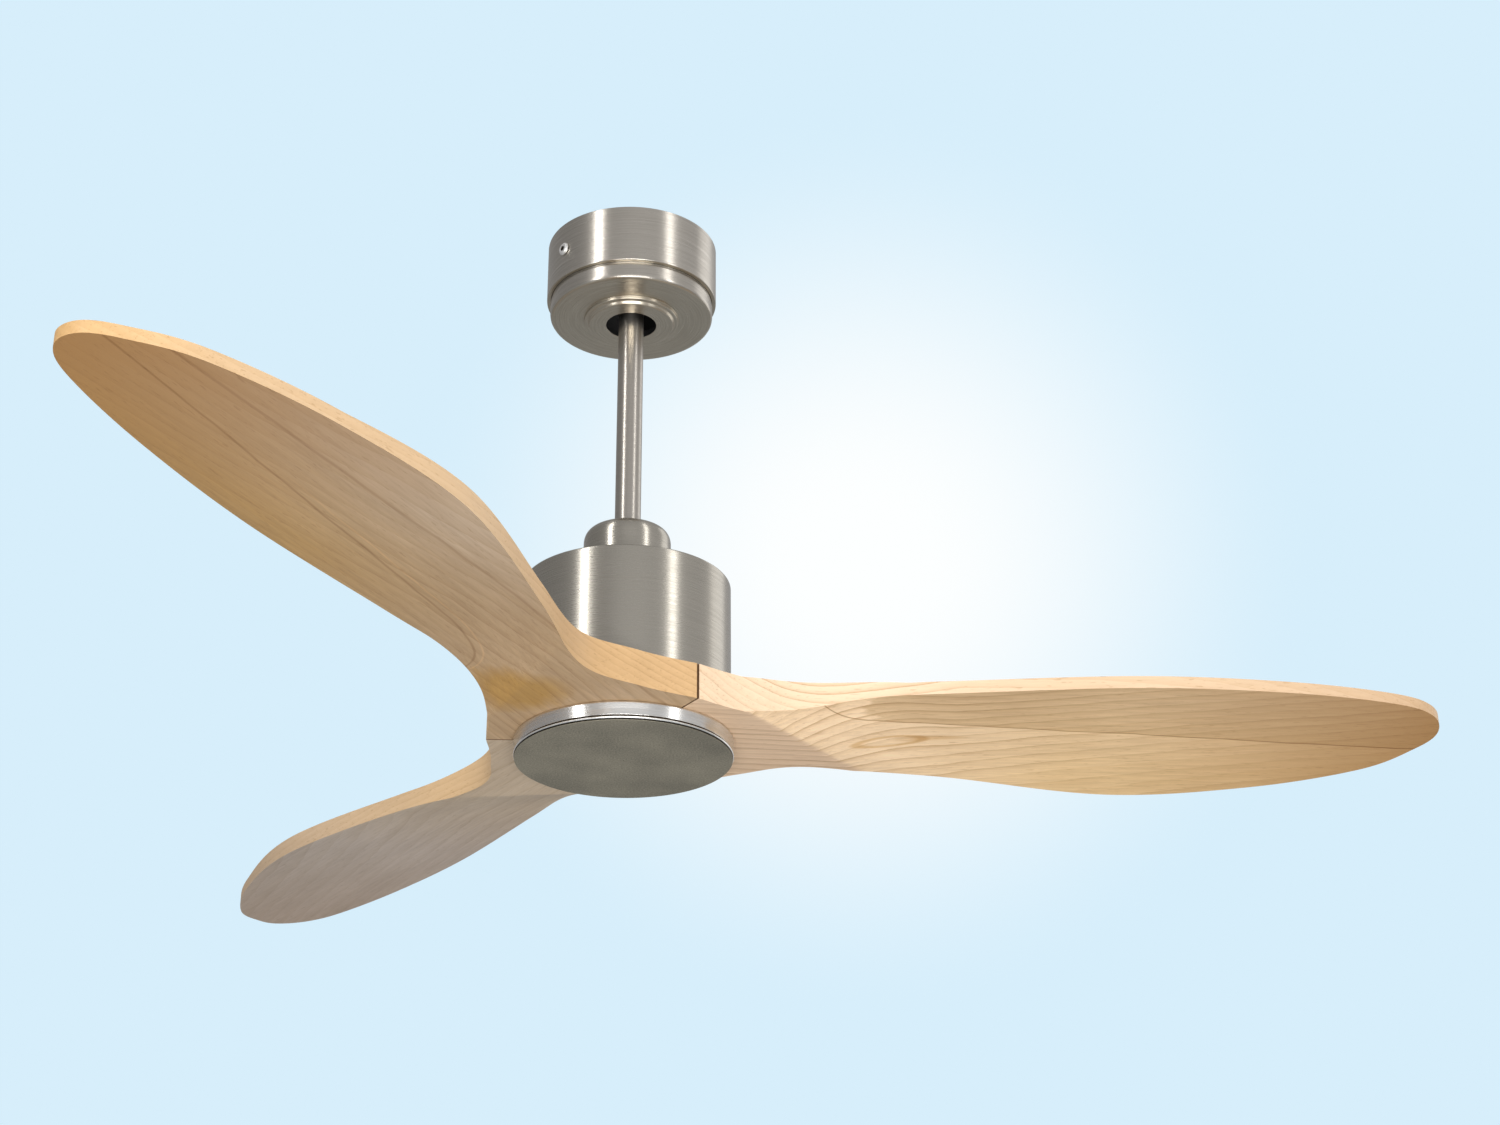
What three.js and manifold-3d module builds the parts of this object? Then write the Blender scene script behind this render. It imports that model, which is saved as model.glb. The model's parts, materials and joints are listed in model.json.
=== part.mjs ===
// Three-blade ceiling fan hung on a down rod, with a flat bottom cover and no light.
// Units are millimetres and +Z is up. The origin is on the ceiling plane, on the rod's axis,
// at the top face of the hanger bracket. Everything hangs below z = 0.
import * as THREE from 'three';
import { mergeVertices } from 'three/addons/utils/BufferGeometryUtils.js';
import Module from 'manifold-3d';

const wasm = await Module();
wasm.setup();

// ---- driving dimensions -------------------------------------------------------------------

const GAP = 0.3; // clearance between neighbours that touch on the real fan
const SHEET = 1.5; // wall of the spun metal covers

const SWEEP_RADIUS = 657; // blade tip to axis, a 52 inch fan
const BLADE_COUNT = 3;
const BLADE_AZIMUTH = 4; // degrees, first blade from +X

const CANOPY_RADIUS = 72.5;
const CANOPY_TOP = -1;
const CANOPY_SIDE_BOTTOM = -53;
const CANOPY_STEP_RADIUS = 69.3;
const CANOPY_FACE = -68.5;
const CANOPY_BOSS_RADIUS = 39.5;
const CANOPY_BOSS_FACE = -74;
const CANOPY_HOLE_RADIUS = 21.3;
const CANOPY_SCREW_AZIMUTH = 41; // degrees, and the opposite side
const CANOPY_SCREW_Z = -27;

const BALL_CENTRE = -38; // height of the hanger ball's centre, where the fan swings
const BALL_RADIUS = 22;
const BALL_PIN_Z = -46;
const BALL_PIN_RADIUS = 2.4;
const LINER_RADIUS = 25.2;
const SPHERE_CLEARANCE = 0.8; // between the faceted spheres that turn in each other

const ROD_RADIUS = 10.65; // half inch pipe
const ROD_BORE = 8.5;
const ROD_TOP = -14;
const ROD_BOTTOM = -303.7;
const LEAD_RADIUS = 1.8;
const LEAD_OFFSET = 4.8; // the lead runs beside the pins that cross the rod

const COUPLING_TOP = -275;
const COUPLING_RADIUS = 16;
const COUPLING_FLANGE_RADIUS = 24;
const COUPLING_FLANGE_TOP = -317;
const COUPLING_BOLT_Z = -290;
const COUPLING_BOLT_RADIUS = 2.5;
const SET_SCREW_Z = -297;
const CUP_RADIUS = 35.6; // coupling cover
const CUP_TOP = -271;
const CUP_SHOULDER = 13;
const CUP_WALL = 1.4;

const HOUSING_RADIUS = 84.5;
const HOUSING_TOP = -322;
const HOUSING_BOTTOM = -424.5;
const HOUSING_HOLE_RADIUS = 12; // where the shaft comes through the top
const HOUSING_SCREW_CIRCLE = 20;
const SHAFT_RADIUS = 8.5;
const SHAFT_BORE = 4.5;
const SHAFT_TOP = -308.3;
const SHAFT_BOTTOM = -436;
const SHAFT_FLANGE_RADIUS = 30;
const SHAFT_NUT_RADIUS = 12.5; // across the corners
const SHAFT_NUT_BOTTOM = -429;

const BEARING_RADIUS = 20;
const BEARING_WIDTH = 10;
const UPPER_BEARING_TOP = -346;
const LOWER_BEARING_TOP = -411;
const BEARING_BALLS = 7;

const STATOR_RADIUS = 52.4;
const STATOR_TOP = -377;
const STATOR_BOTTOM = -397;
const STATOR_TEETH = 12;
const MAGNET_INNER = 53.2;
const MAGNET_OUTER = 57.6;
const BELL_INNER = 57.9;
const BELL_OUTER = 63.5;
const BELL_TOP = -360.3;
const BELL_FLANGE_RADIUS = 80;
const ROTOR_SCREW_CIRCLE = 60.7;

const HUB_TOP = -426; // upper face of the wooden hub
const HUB_THICKNESS = 28.5;
const HUB_BOTTOM = HUB_TOP - HUB_THICKNESS;
const HUB_BORE = 33;
const JOINT_RADIUS = 108; // outer end of the butt joint between two blades
const BLADE_SCREW_X = 58;
const BLADE_SCREW_Y = 30;
const BLADE_SCREW_LENGTH = 35.5; // below the head
const BLADE_SCREW_HOLE = 2.8;

const PLATE_RADIUS = 78; // steel plate that clamps the blades
const PLATE_TOP = HUB_BOTTOM - GAP;
const PLATE_THICKNESS = 3;
const PLATE_BORE = 16;
const COVER_RADIUS = 87;
const COVER_WALL = 2;
const COVER_BAND_BOTTOM = -466.4;
const COVER_BAND_TAPER = 2.2; // how far the band draws in towards its lower edge
const COVER_WEB_TOP = -461.7;
const COVER_WEB = 1.5; // thickness of the web that the cover screws clamp
const COVER_WEB_HOLE = 38;
const COVER_SCREW_CIRCLE = 50;
const COVER_SCREW_HOLE = 2.3;
const LIP_OUTER = 86.8; // polished bead between the band and the flat plate
const LIP_INNER = 80;
const LIP_BOTTOM = -468.5;
const COVER_PLATE_RADIUS = 86.4;
const COVER_BOTTOM = -470;

const COARSE = 16; // facets round the small turned pieces
const MEDIUM = 20; // facets round pieces of middle size
const FINE = 32; // facets round the large covers
const THROUGH = 80; // half length of a drill that passes through everything

// ---- materials ----------------------------------------------------------------------------

function finish(color, metalness, roughness) {
  return new THREE.MeshStandardMaterial({ color, metalness, roughness });
}

const nickel = finish(0xb5afa6, 1, 0.32);
const nickelPolished = finish(0xd9d5cd, 1, 0.12);
const plateSatin = finish(0x6e695d, 0.9, 0.5);
const steel = finish(0x9a9c9e, 1, 0.35);
const zincSteel = finish(0xa7a9a4, 1, 0.45);
const blackSteel = finish(0x232323, 0.3, 0.45);
const aluminium = finish(0xb9bbbd, 1, 0.4);
const laminations = finish(0x55575a, 0.8, 0.55);
const magnet = finish(0x35363a, 0.6, 0.5);
const copper = finish(0xb8683a, 1, 0.35);
const wood = finish(0xc79f6c, 0, 0.45);
const rubber = finish(0x171717, 0, 0.7);
const blackPlastic = finish(0x1d1e20, 0, 0.5);
const whitePlastic = finish(0xe4e2dc, 0, 0.45);
const leadJacket = finish(0x2a2a2c, 0, 0.6);

// ---- shape helpers ------------------------------------------------------------------------

const radians = THREE.MathUtils.degToRad;
const lerp = THREE.MathUtils.lerp;
const smoothstep = THREE.MathUtils.smoothstep;

// A turned piece from a closed (radius, height) outline about the Z axis.
function turned(outline, facets = COARSE) {
  const points = outline.map(([r, z]) => new THREE.Vector2(r, z));
  if (THREE.ShapeUtils.area(points) < 0) points.reverse();
  points.push(points[0].clone());
  return new THREE.LatheGeometry(points, facets).rotateX(Math.PI / 2);
}

// A turned ring of rectangular section.
function ring(inner, outer, bottom, top, facets = COARSE) {
  return turned([[inner, bottom], [outer, bottom], [outer, top], [inner, top]], facets);
}

// Points along an arc in the (radius, height) plane, angles in degrees.
function arc(r, z, radius, from, to, steps) {
  return Array.from({ length: steps + 1 }, (_, i) => {
    const angle = radians(lerp(from, to, i / steps));
    return [r + radius * Math.cos(angle), z + radius * Math.sin(angle)];
  });
}

function box(x0, x1, y0, y1, z0, z1) {
  return new THREE.BoxGeometry(x1 - x0, y1 - y0, z1 - z0)
    .translate((x0 + x1) / 2, (y0 + y1) / 2, (z0 + z1) / 2);
}

// A rod along Z, X or Y between two coordinates on that axis.
function rodZ(radius, bottom, top, facets = 8) {
  return new THREE.CylinderGeometry(radius, radius, top - bottom, facets)
    .rotateX(Math.PI / 2).translate(0, 0, (top + bottom) / 2);
}

function rodX(radius, from, to, z, facets = 8) {
  return rodZ(radius, from, to, facets).rotateY(Math.PI / 2).translate(0, 0, z);
}

function rodY(radius, from, to, z, facets = 8) {
  return rodZ(radius, from, to, facets).rotateX(-Math.PI / 2).translate(0, 0, z);
}

// A round lead along a smooth curve through the given points.
function lead(radius, route, steps) {
  const section = new THREE.Shape().absarc(0, 0, radius, 0, 2 * Math.PI);
  const path = new THREE.CatmullRomCurve3(route.map((p) => new THREE.Vector3(...p)));
  return new THREE.ExtrudeGeometry(section, { steps, extrudePath: path, curveSegments: 4 });
}

function toSolid(geometry) {
  const bare = geometry.clone();
  bare.deleteAttribute('normal');
  bare.deleteAttribute('uv');
  const merged = mergeVertices(bare, 1e-4);
  const index = merged.index.array;
  const kept = [];
  for (let i = 0; i < index.length; i += 3) {
    const [a, b, c] = index.slice(i, i + 3);
    if (a !== b && b !== c && c !== a) kept.push(a, b, c);
  }
  return new wasm.Manifold(new wasm.Mesh({
    numProp: 3,
    vertProperties: merged.attributes.position.array,
    triVerts: new Uint32Array(kept),
  }));
}

function toGeometry(solid) {
  const mesh = solid.getMesh();
  const geometry = new THREE.BufferGeometry();
  geometry.setAttribute('position', new THREE.BufferAttribute(mesh.vertProperties, 3));
  geometry.setIndex(new THREE.BufferAttribute(mesh.triVerts, 1));
  geometry.computeVertexNormals();
  return geometry;
}

function join(...pieces) {
  return toGeometry(pieces.map(toSolid).reduce((sum, piece) => sum.add(piece)));
}

function cut(piece, ...tools) {
  return toGeometry(tools.map(toSolid).reduce((rest, tool) => rest.subtract(tool), toSolid(piece)));
}

// The same geometry turned about Z to each of count equal places.
function around(count, first, make) {
  return Array.from({ length: count }, (_, i) => make().rotateZ(radians(first + (360 * i) / count)));
}

const fan = new THREE.Group();

function add(name, geometry, material, parent = fan) {
  const mesh = new THREE.Mesh(geometry, material);
  mesh.name = name;
  parent.add(mesh);
}

function addAround(name, count, first, material, make) {
  around(count, first, make).forEach((geometry, i) => add(`${name}_${i + 1}`, geometry, material));
}

// A screw with a round head below z = 0 and its shank above, or turned over.
function screw(headRadius, headHeight, shankRadius, shankLength) {
  return turned([
    [0, -headHeight], [headRadius, -headHeight], [headRadius, 0],
    [shankRadius, 0], [shankRadius, shankLength], [0, shankLength],
  ], 8);
}

// ---- ceiling bracket and canopy, turned together so that a canopy screw shows -------------

const BRACKET_PLATE = 2.5;
const BRACKET_HALF_WIDTH = 19;
const LEG_INNER = 36;
const LEG_OUTER = LEG_INNER + BRACKET_PLATE;
const TAB_OUTER = 66.5;
const TAB_HALF_WIDTH = 9;
const TAB_BOTTOM = -36;
const CANOPY_SCREW_HOLE = 2.5;
const CRADLE_TOP = BALL_CENTRE - 11;
const CRADLE_BOTTOM = CRADLE_TOP - BRACKET_PLATE;
const CRADLE_HALF_WIDTH = 27;
const ROD_SLOT_HALF_WIDTH = 13;
const CONTROLLER = { halfLength: 26, near: -24, far: -45, height: 18 };
const TERMINALS = { halfLength: 15, near: 22, far: 36, height: 12 };
const GROUND_SCREW_X = -24;
const CEILING_SLOT_X = 51;
const WIRE_HOLE_X = 21;

const mount = new THREE.Group();
mount.rotation.z = radians(CANOPY_SCREW_AZIMUTH);
fan.add(mount);

function hangerBracket() {
  const w = BRACKET_HALF_WIDTH;
  const strap = [box(-TAB_OUTER, TAB_OUTER, -w, w, -BRACKET_PLATE, 0)];
  for (const side of [-1, 1]) {
    const leg = [side * LEG_INNER, side * LEG_OUTER].sort((a, b) => a - b);
    const tab = [side * (TAB_OUTER - BRACKET_PLATE), side * TAB_OUTER].sort((a, b) => a - b);
    strap.push(box(...leg, -w, w, CRADLE_BOTTOM, 0),
      box(...tab, -TAB_HALF_WIDTH, TAB_HALF_WIDTH, TAB_BOTTOM, 0));
  }
  const controllerWing = box(-20, 20, CONTROLLER.far - 1, 0, -BRACKET_PLATE, 0);
  const terminalWing = box(-18, 18, 0, TERMINALS.far + 4, -BRACKET_PLATE, 0);
  const cradle = box(-LEG_OUTER, LEG_OUTER, -CRADLE_HALF_WIDTH, CRADLE_HALF_WIDTH,
    CRADLE_BOTTOM, CRADLE_TOP);
  const blank = join(...strap, controllerWing, terminalWing, cradle);
  const slots = [-CEILING_SLOT_X, CEILING_SLOT_X].map((x) => box(x - 3.5, x + 3.5, -8, 8, -4, 1));
  const wireHole = rodZ(8, -4, 1, COARSE).translate(WIRE_HOLE_X, 0, 0);
  const seat = new THREE.SphereGeometry(LINER_RADIUS + SPHERE_CLEARANCE, 24, 16)
    .translate(0, 0, BALL_CENTRE);
  const rodSlot = box(-ROD_SLOT_HALF_WIDTH, ROD_SLOT_HALF_WIDTH, 0, 40,
    CRADLE_BOTTOM - 1, CRADLE_TOP + 1);
  const screwHole = rodX(CANOPY_SCREW_HOLE, -THROUGH, THROUGH, CANOPY_SCREW_Z);
  const groundHole = rodZ(2.1, -4, 1).translate(GROUND_SCREW_X, 0, 0);
  return cut(blank, ...slots, wireHole, seat, rodSlot, screwHole, groundHole);
}

function canopy() {
  const wall = CANOPY_RADIUS - SHEET;
  const step = CANOPY_STEP_RADIUS;
  const shell = turned([
    [CANOPY_RADIUS, CANOPY_TOP],
    [CANOPY_RADIUS, CANOPY_SIDE_BOTTOM + 1],
    [CANOPY_RADIUS - 1, CANOPY_SIDE_BOTTOM],
    [step - 0.6, CANOPY_SIDE_BOTTOM],
    [step - 0.6, CANOPY_SIDE_BOTTOM - 1.6],
    [step, CANOPY_SIDE_BOTTOM - 2.2],
    ...arc(step - 3, CANOPY_FACE + 3, 3, 0, -90, 3),
    [CANOPY_BOSS_RADIUS, CANOPY_FACE],
    [CANOPY_BOSS_RADIUS, CANOPY_FACE - 2],
    [CANOPY_BOSS_RADIUS - 1, CANOPY_FACE - 2.8],
    [CANOPY_BOSS_RADIUS - 3, CANOPY_FACE - 2.8],
    [CANOPY_BOSS_RADIUS - 4.5, CANOPY_BOSS_FACE],
    [CANOPY_HOLE_RADIUS, CANOPY_BOSS_FACE],
    [CANOPY_HOLE_RADIUS, CANOPY_BOSS_FACE + SHEET],
    [CANOPY_BOSS_RADIUS - 6, CANOPY_BOSS_FACE + SHEET],
    [CANOPY_BOSS_RADIUS - 4, CANOPY_FACE + SHEET],
    [step - 4, CANOPY_FACE + SHEET],
    [step - 2.2, CANOPY_FACE + 3.5],
    [step - 2.2, CANOPY_SIDE_BOTTOM + SHEET],
    [wall, CANOPY_SIDE_BOTTOM + SHEET],
    [wall, CANOPY_TOP],
  ], FINE);
  return cut(shell, rodX(CANOPY_SCREW_HOLE, -THROUGH, THROUGH, CANOPY_SCREW_Z));
}

function canopyScrew() {
  const seat = CANOPY_RADIUS + GAP;
  const blank = screw(5.5, 2.4, 2.1, 10);
  const socket = rodZ(1.9, -4, -0.9, 6);
  return cut(blank, socket).rotateY(-Math.PI / 2).translate(seat, 0, CANOPY_SCREW_Z);
}

function roundedBox(halfX, y0, y1, z0, z1, radius) {
  const outline = new THREE.Shape();
  outline.absarc(halfX - radius, y1 - radius, radius, 0, Math.PI / 2);
  outline.absarc(-halfX + radius, y1 - radius, radius, Math.PI / 2, Math.PI);
  outline.absarc(-halfX + radius, y0 + radius, radius, Math.PI, 1.5 * Math.PI);
  outline.absarc(halfX - radius, y0 + radius, radius, 1.5 * Math.PI, 2 * Math.PI);
  const settings = { depth: z1 - z0, bevelEnabled: false, curveSegments: 3 };
  return new THREE.ExtrudeGeometry(outline, settings).translate(0, 0, z0);
}

function terminalBlock() {
  const top = -BRACKET_PLATE - GAP;
  const { halfLength, near, far, height } = TERMINALS;
  const block = roundedBox(halfLength, near, far, top - height, top, 1.5);
  const wells = [-9, 0, 9].map((x) => (
    rodZ(2.4, top - height - 1, top - height + 5).translate(x, (near + far) / 2, 0)
  ));
  return cut(block, ...wells);
}

const wingFace = -BRACKET_PLATE - GAP;
add('hanger_bracket', hangerBracket(), blackSteel, mount);
add('canopy', canopy(), nickel, mount);
around(2, 0, canopyScrew).forEach((geometry, i) => {
  add(`canopy_screw_${i + 1}`, geometry, nickelPolished, mount);
});
add('controller_box', roundedBox(CONTROLLER.halfLength, CONTROLLER.far, CONTROLLER.near,
  wingFace - CONTROLLER.height, wingFace, 3), whitePlastic, mount);
add('terminal_block', terminalBlock(), whitePlastic, mount);
add('ground_screw', screw(4, 2.2, 1.8, 2).translate(GROUND_SCREW_X, 0, wingFace), steel, mount);
add('supply_lead', lead(2.2, [
  [TERMINALS.halfLength + GAP, 29, -9], [27, 29, -10], [43, 22, -13], [48, 6, -15],
  [48, -10, -15], [43, -26, -13], [36, -34, -11.5], [CONTROLLER.halfLength + GAP, -35, -11],
], 20), leadJacket, mount);

// ---- ball joint ---------------------------------------------------------------------------

function sphereZone(inner, outer, lowest, highest, steps) {
  const side = (radius) => Array.from({ length: steps + 1 }, (_, i) => {
    const height = lerp(lowest, highest, i / steps);
    return [Math.sqrt(radius ** 2 - height ** 2), BALL_CENTRE + height];
  });
  return turned([...side(outer), ...side(inner).reverse()], 24);
}

function hangerBall() {
  const cap = 60; // degrees above and below the ball's equator where the bore cuts it off
  const body = turned([
    ...arc(0, BALL_CENTRE, BALL_RADIUS, -cap, cap, 8),
  ], 24);
  return cut(body, rodX(BALL_PIN_RADIUS + GAP, -40, 40, BALL_PIN_Z));
}

add('ball_seat_liner', sphereZone(BALL_RADIUS + SPHERE_CLEARANCE, LINER_RADIUS, -17, -5, 3), blackPlastic);
add('hanger_ball', hangerBall(), rubber);
add('ball_pin', rodX(BALL_PIN_RADIUS, -19, 19, BALL_PIN_Z), steel);

// ---- down rod and its lead ----------------------------------------------------------------

const downrod = cut(
  ring(ROD_BORE, ROD_RADIUS, ROD_BOTTOM, ROD_TOP, MEDIUM),
  rodX(BALL_PIN_RADIUS + GAP, -20, 20, BALL_PIN_Z),
  rodX(COUPLING_BOLT_RADIUS + GAP, -20, 20, COUPLING_BOLT_Z),
);
add('downrod', downrod, nickel);
add('controller_lead', lead(LEAD_RADIUS, [
  [0, CONTROLLER.near + GAP, -10], [0, -16, -8.5], [0, -8, -8], [0, -2, -10], [0, 0, -14],
  [0, LEAD_OFFSET / 2, -25], [0, LEAD_OFFSET, -37.2],
], 14), leadJacket, mount);
add('motor_lead', lead(LEAD_RADIUS, [
  [0, LEAD_OFFSET, BALL_CENTRE - 1], [0, LEAD_OFFSET, -120], [0, LEAD_OFFSET, -210],
  [0, LEAD_OFFSET, -286], [0, LEAD_OFFSET * 0.9, -297], [0, 1, -306], [0, 0, -316],
  [0, 0, -336], [0, 0, -352], [0, 1.5, -361], [0, 7, -366], [0, 18, -367], [0, 30, -368.5],
  [0, 35, -370.5],
], 40), leadJacket);

// ---- coupling under its cover -------------------------------------------------------------

function housingScrewHoles(z0, z1) {
  return around(3, 90, () => rodZ(2.2, z0, z1).translate(HOUSING_SCREW_CIRCLE, 0, 0));
}

function rodCoupling() {
  const socketBottom = ROD_BOTTOM - GAP;
  const shaftSeat = SHAFT_TOP + GAP;
  const flangeBottom = HOUSING_TOP + GAP;
  const body = turned([
    [SHAFT_RADIUS + GAP, flangeBottom], [COUPLING_FLANGE_RADIUS, flangeBottom],
    [COUPLING_FLANGE_RADIUS, COUPLING_FLANGE_TOP], [COUPLING_RADIUS, COUPLING_FLANGE_TOP],
    [COUPLING_RADIUS, COUPLING_TOP], [ROD_RADIUS + GAP, COUPLING_TOP],
    [ROD_RADIUS + GAP, socketBottom], [SHAFT_BORE + 0.4, socketBottom],
    [SHAFT_BORE + 0.4, shaftSeat], [SHAFT_RADIUS + GAP, shaftSeat],
  ], MEDIUM);
  return cut(body,
    rodX(COUPLING_BOLT_RADIUS + GAP, -30, 30, COUPLING_BOLT_Z),
    rodY(2.3, -30, 30, SET_SCREW_Z),
    ...housingScrewHoles(flangeBottom - 1, COUPLING_FLANGE_TOP + 1));
}

function couplingCover() {
  const base = HOUSING_TOP + GAP;
  const wall = CUP_WALL;
  const inner = CUP_RADIUS - CUP_SHOULDER;
  const hole = ROD_RADIUS + 2 * GAP;
  return turned([
    [CUP_RADIUS, base],
    ...arc(inner, CUP_TOP - CUP_SHOULDER, CUP_SHOULDER, 0, 90, 5),
    [hole, CUP_TOP], [hole, CUP_TOP - wall],
    ...arc(inner, CUP_TOP - CUP_SHOULDER, CUP_SHOULDER - wall, 90, 0, 3),
    [CUP_RADIUS - wall, base],
  ], MEDIUM);
}

const couplingBolt = turned([
  [0, -19.5], [4, -19.5], [4.6, -18.7], [4.6, -16.3], [COUPLING_BOLT_RADIUS, -16.3],
  [COUPLING_BOLT_RADIUS, 20], [0, 20],
], 8).rotateY(Math.PI / 2).translate(0, 0, COUPLING_BOLT_Z);
add('rod_coupling', rodCoupling(), zincSteel);
add('coupling_bolt', couplingBolt, steel);
add('coupling_clip', ring(COUPLING_BOLT_RADIUS + GAP, 5, 16.8, 17.8, 10)
  .rotateY(Math.PI / 2).translate(0, 0, COUPLING_BOLT_Z), steel);
addAround('coupling_set_screw', 2, 90, steel, () => rodX(2, 11, 18, SET_SCREW_Z));
add('coupling_cover', couplingCover(), nickel);

// ---- stationary part of the motor ---------------------------------------------------------

function motorHousing() {
  const wall = HOUSING_RADIUS - SHEET;
  const shell = turned([
    [HOUSING_RADIUS, HOUSING_BOTTOM], [HOUSING_RADIUS, HOUSING_TOP - 1.2],
    [HOUSING_RADIUS - 0.4, HOUSING_TOP - 0.35], [HOUSING_RADIUS - 1.2, HOUSING_TOP],
    [HOUSING_HOLE_RADIUS, HOUSING_TOP], [HOUSING_HOLE_RADIUS, HOUSING_TOP - SHEET],
    [wall, HOUSING_TOP - SHEET], [wall, HOUSING_BOTTOM],
  ], FINE);
  return cut(shell, ...housingScrewHoles(HOUSING_TOP - 4, HOUSING_TOP + 2));
}

const SHAFT_FLANGE_TOP = HOUSING_TOP - SHEET - GAP;
const SHAFT_FLANGE_BOTTOM = SHAFT_FLANGE_TOP - 4;

function motorShaft() {
  const body = turned([
    [SHAFT_BORE, SHAFT_BOTTOM], [SHAFT_RADIUS, SHAFT_BOTTOM], [SHAFT_RADIUS, SHAFT_FLANGE_BOTTOM],
    [SHAFT_FLANGE_RADIUS, SHAFT_FLANGE_BOTTOM], [SHAFT_FLANGE_RADIUS, SHAFT_FLANGE_TOP],
    [SHAFT_RADIUS, SHAFT_FLANGE_TOP],
    [SHAFT_RADIUS, SHAFT_TOP], [SHAFT_BORE, SHAFT_TOP],
  ], COARSE);
  const leadWindow = box(-3, 3, 0, 12, -371, -360);
  return cut(body, leadWindow, ...housingScrewHoles(SHAFT_FLANGE_BOTTOM - 1, SHAFT_FLANGE_TOP + 1));
}

// Laminated core with T-shaped teeth on a hub ring.
function statorCore() {
  const pitch = 360 / STATOR_TEETH;
  const outline = new THREE.Shape();
  const at = (radius, degrees) => {
    const angle = radians(degrees);
    return [radius * Math.cos(angle), radius * Math.sin(angle)];
  };
  for (let tooth = 0; tooth < STATOR_TEETH; tooth += 1) {
    const middle = tooth * pitch;
    const profile = [
      [24, -9], [46, -4.6], [46, -13], [STATOR_RADIUS, -13], [STATOR_RADIUS, -4.4],
      [STATOR_RADIUS, 4.4], [STATOR_RADIUS, 13], [46, 13], [46, 4.6], [24, 9],
    ];
    profile.forEach(([radius, degrees], i) => {
      const point = at(radius, middle + degrees);
      if (tooth === 0 && i === 0) outline.moveTo(...point);
      else outline.lineTo(...point);
    });
  }
  outline.holes.push(new THREE.Path().absarc(0, 0, SHAFT_RADIUS + GAP, 0, 2 * Math.PI));
  const settings = { depth: STATOR_TOP - STATOR_BOTTOM, bevelEnabled: false, curveSegments: 12 };
  return new THREE.ExtrudeGeometry(outline, settings).translate(0, 0, STATOR_BOTTOM);
}

// Copper: a ring above and below the core, joined by a leg through each slot.
function statorWinding() {
  const legs = around(STATOR_TEETH, 180 / STATOR_TEETH, () => (
    box(31, 43, -2.4, 2.4, STATOR_BOTTOM - 2, STATOR_TOP + 2)
  ));
  const crowns = [
    ring(29, 45, STATOR_TOP + GAP, STATOR_TOP + 4, MEDIUM),
    ring(29, 45, STATOR_BOTTOM - 4, STATOR_BOTTOM - GAP, MEDIUM),
  ];
  return join(...crowns, ...legs);
}

add('motor_housing', motorHousing(), nickel);
addAround('housing_screw', 3, 90, steel, () => (
  screw(3.3, 2.6, 1.9, 9).rotateX(Math.PI)
    .translate(HOUSING_SCREW_CIRCLE, 0, COUPLING_FLANGE_TOP + GAP)
));
add('motor_shaft', motorShaft(), steel);
add('shaft_nut', cut(rodZ(SHAFT_NUT_RADIUS, SHAFT_NUT_BOTTOM, LOWER_BEARING_TOP - BEARING_WIDTH - GAP, 6),
  rodZ(SHAFT_RADIUS + GAP, -440, -400, COARSE)), steel);
add('stator_core', statorCore(), laminations);
add('stator_winding', statorWinding(), copper);

// ---- ball bearings: inner rings stay with the shaft, outer rings and balls with the rotor ---

const RACE_INNER = 12;
const RACE_OUTER = 16.4;
const BALL_CIRCLE = (RACE_INNER + RACE_OUTER) / 2;
const BALL_SIZE = (RACE_OUTER - RACE_INNER) / 2 - GAP;

function bearingBalls(top) {
  const middle = top - BEARING_WIDTH / 2;
  const cage = ring(BALL_CIRCLE - 0.5, BALL_CIRCLE + 0.5, middle - 1, middle + 1, 2 * BEARING_BALLS);
  const balls = around(BEARING_BALLS, 0, () => (
    new THREE.SphereGeometry(BALL_SIZE, 6, 3).translate(BALL_CIRCLE, 0, middle)
  ));
  return join(cage, ...balls);
}

for (const [place, top] of [['upper', UPPER_BEARING_TOP], ['lower', LOWER_BEARING_TOP]]) {
  const bottom = top - BEARING_WIDTH;
  add(`bearing_inner_ring_${place}`, ring(SHAFT_RADIUS + GAP, RACE_INNER, bottom, top), steel);
  add(`bearing_outer_ring_${place}`, ring(RACE_OUTER, BEARING_RADIUS, bottom, top), steel);
  add(`bearing_balls_${place}`, bearingBalls(top), steel);
}

// ---- rotor --------------------------------------------------------------------------------

const BEARING_SEAT = BEARING_RADIUS + GAP;
const BEARING_HUB = 24;
const SHAFT_CLEARANCE = 17;

function bladeScrewPlaces() {
  const places = [];
  for (let i = 0; i < BLADE_COUNT; i += 1) {
    const turn = BLADE_AZIMUTH + (360 * i) / BLADE_COUNT;
    for (const side of [-1, 1]) {
      places.push((piece) => piece.translate(BLADE_SCREW_X, side * BLADE_SCREW_Y, 0)
        .rotateZ(radians(turn)));
    }
  }
  return places;
}

function bladeScrewHoles(z0, z1) {
  return bladeScrewPlaces().map((place) => place(rodZ(BLADE_SCREW_HOLE, z0, z1)));
}

function rotorScrewHoles() {
  return around(3, 30, () => rodZ(1.5, -374, BELL_TOP + 8, 8).translate(ROTOR_SCREW_CIRCLE, 0, 0));
}

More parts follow.
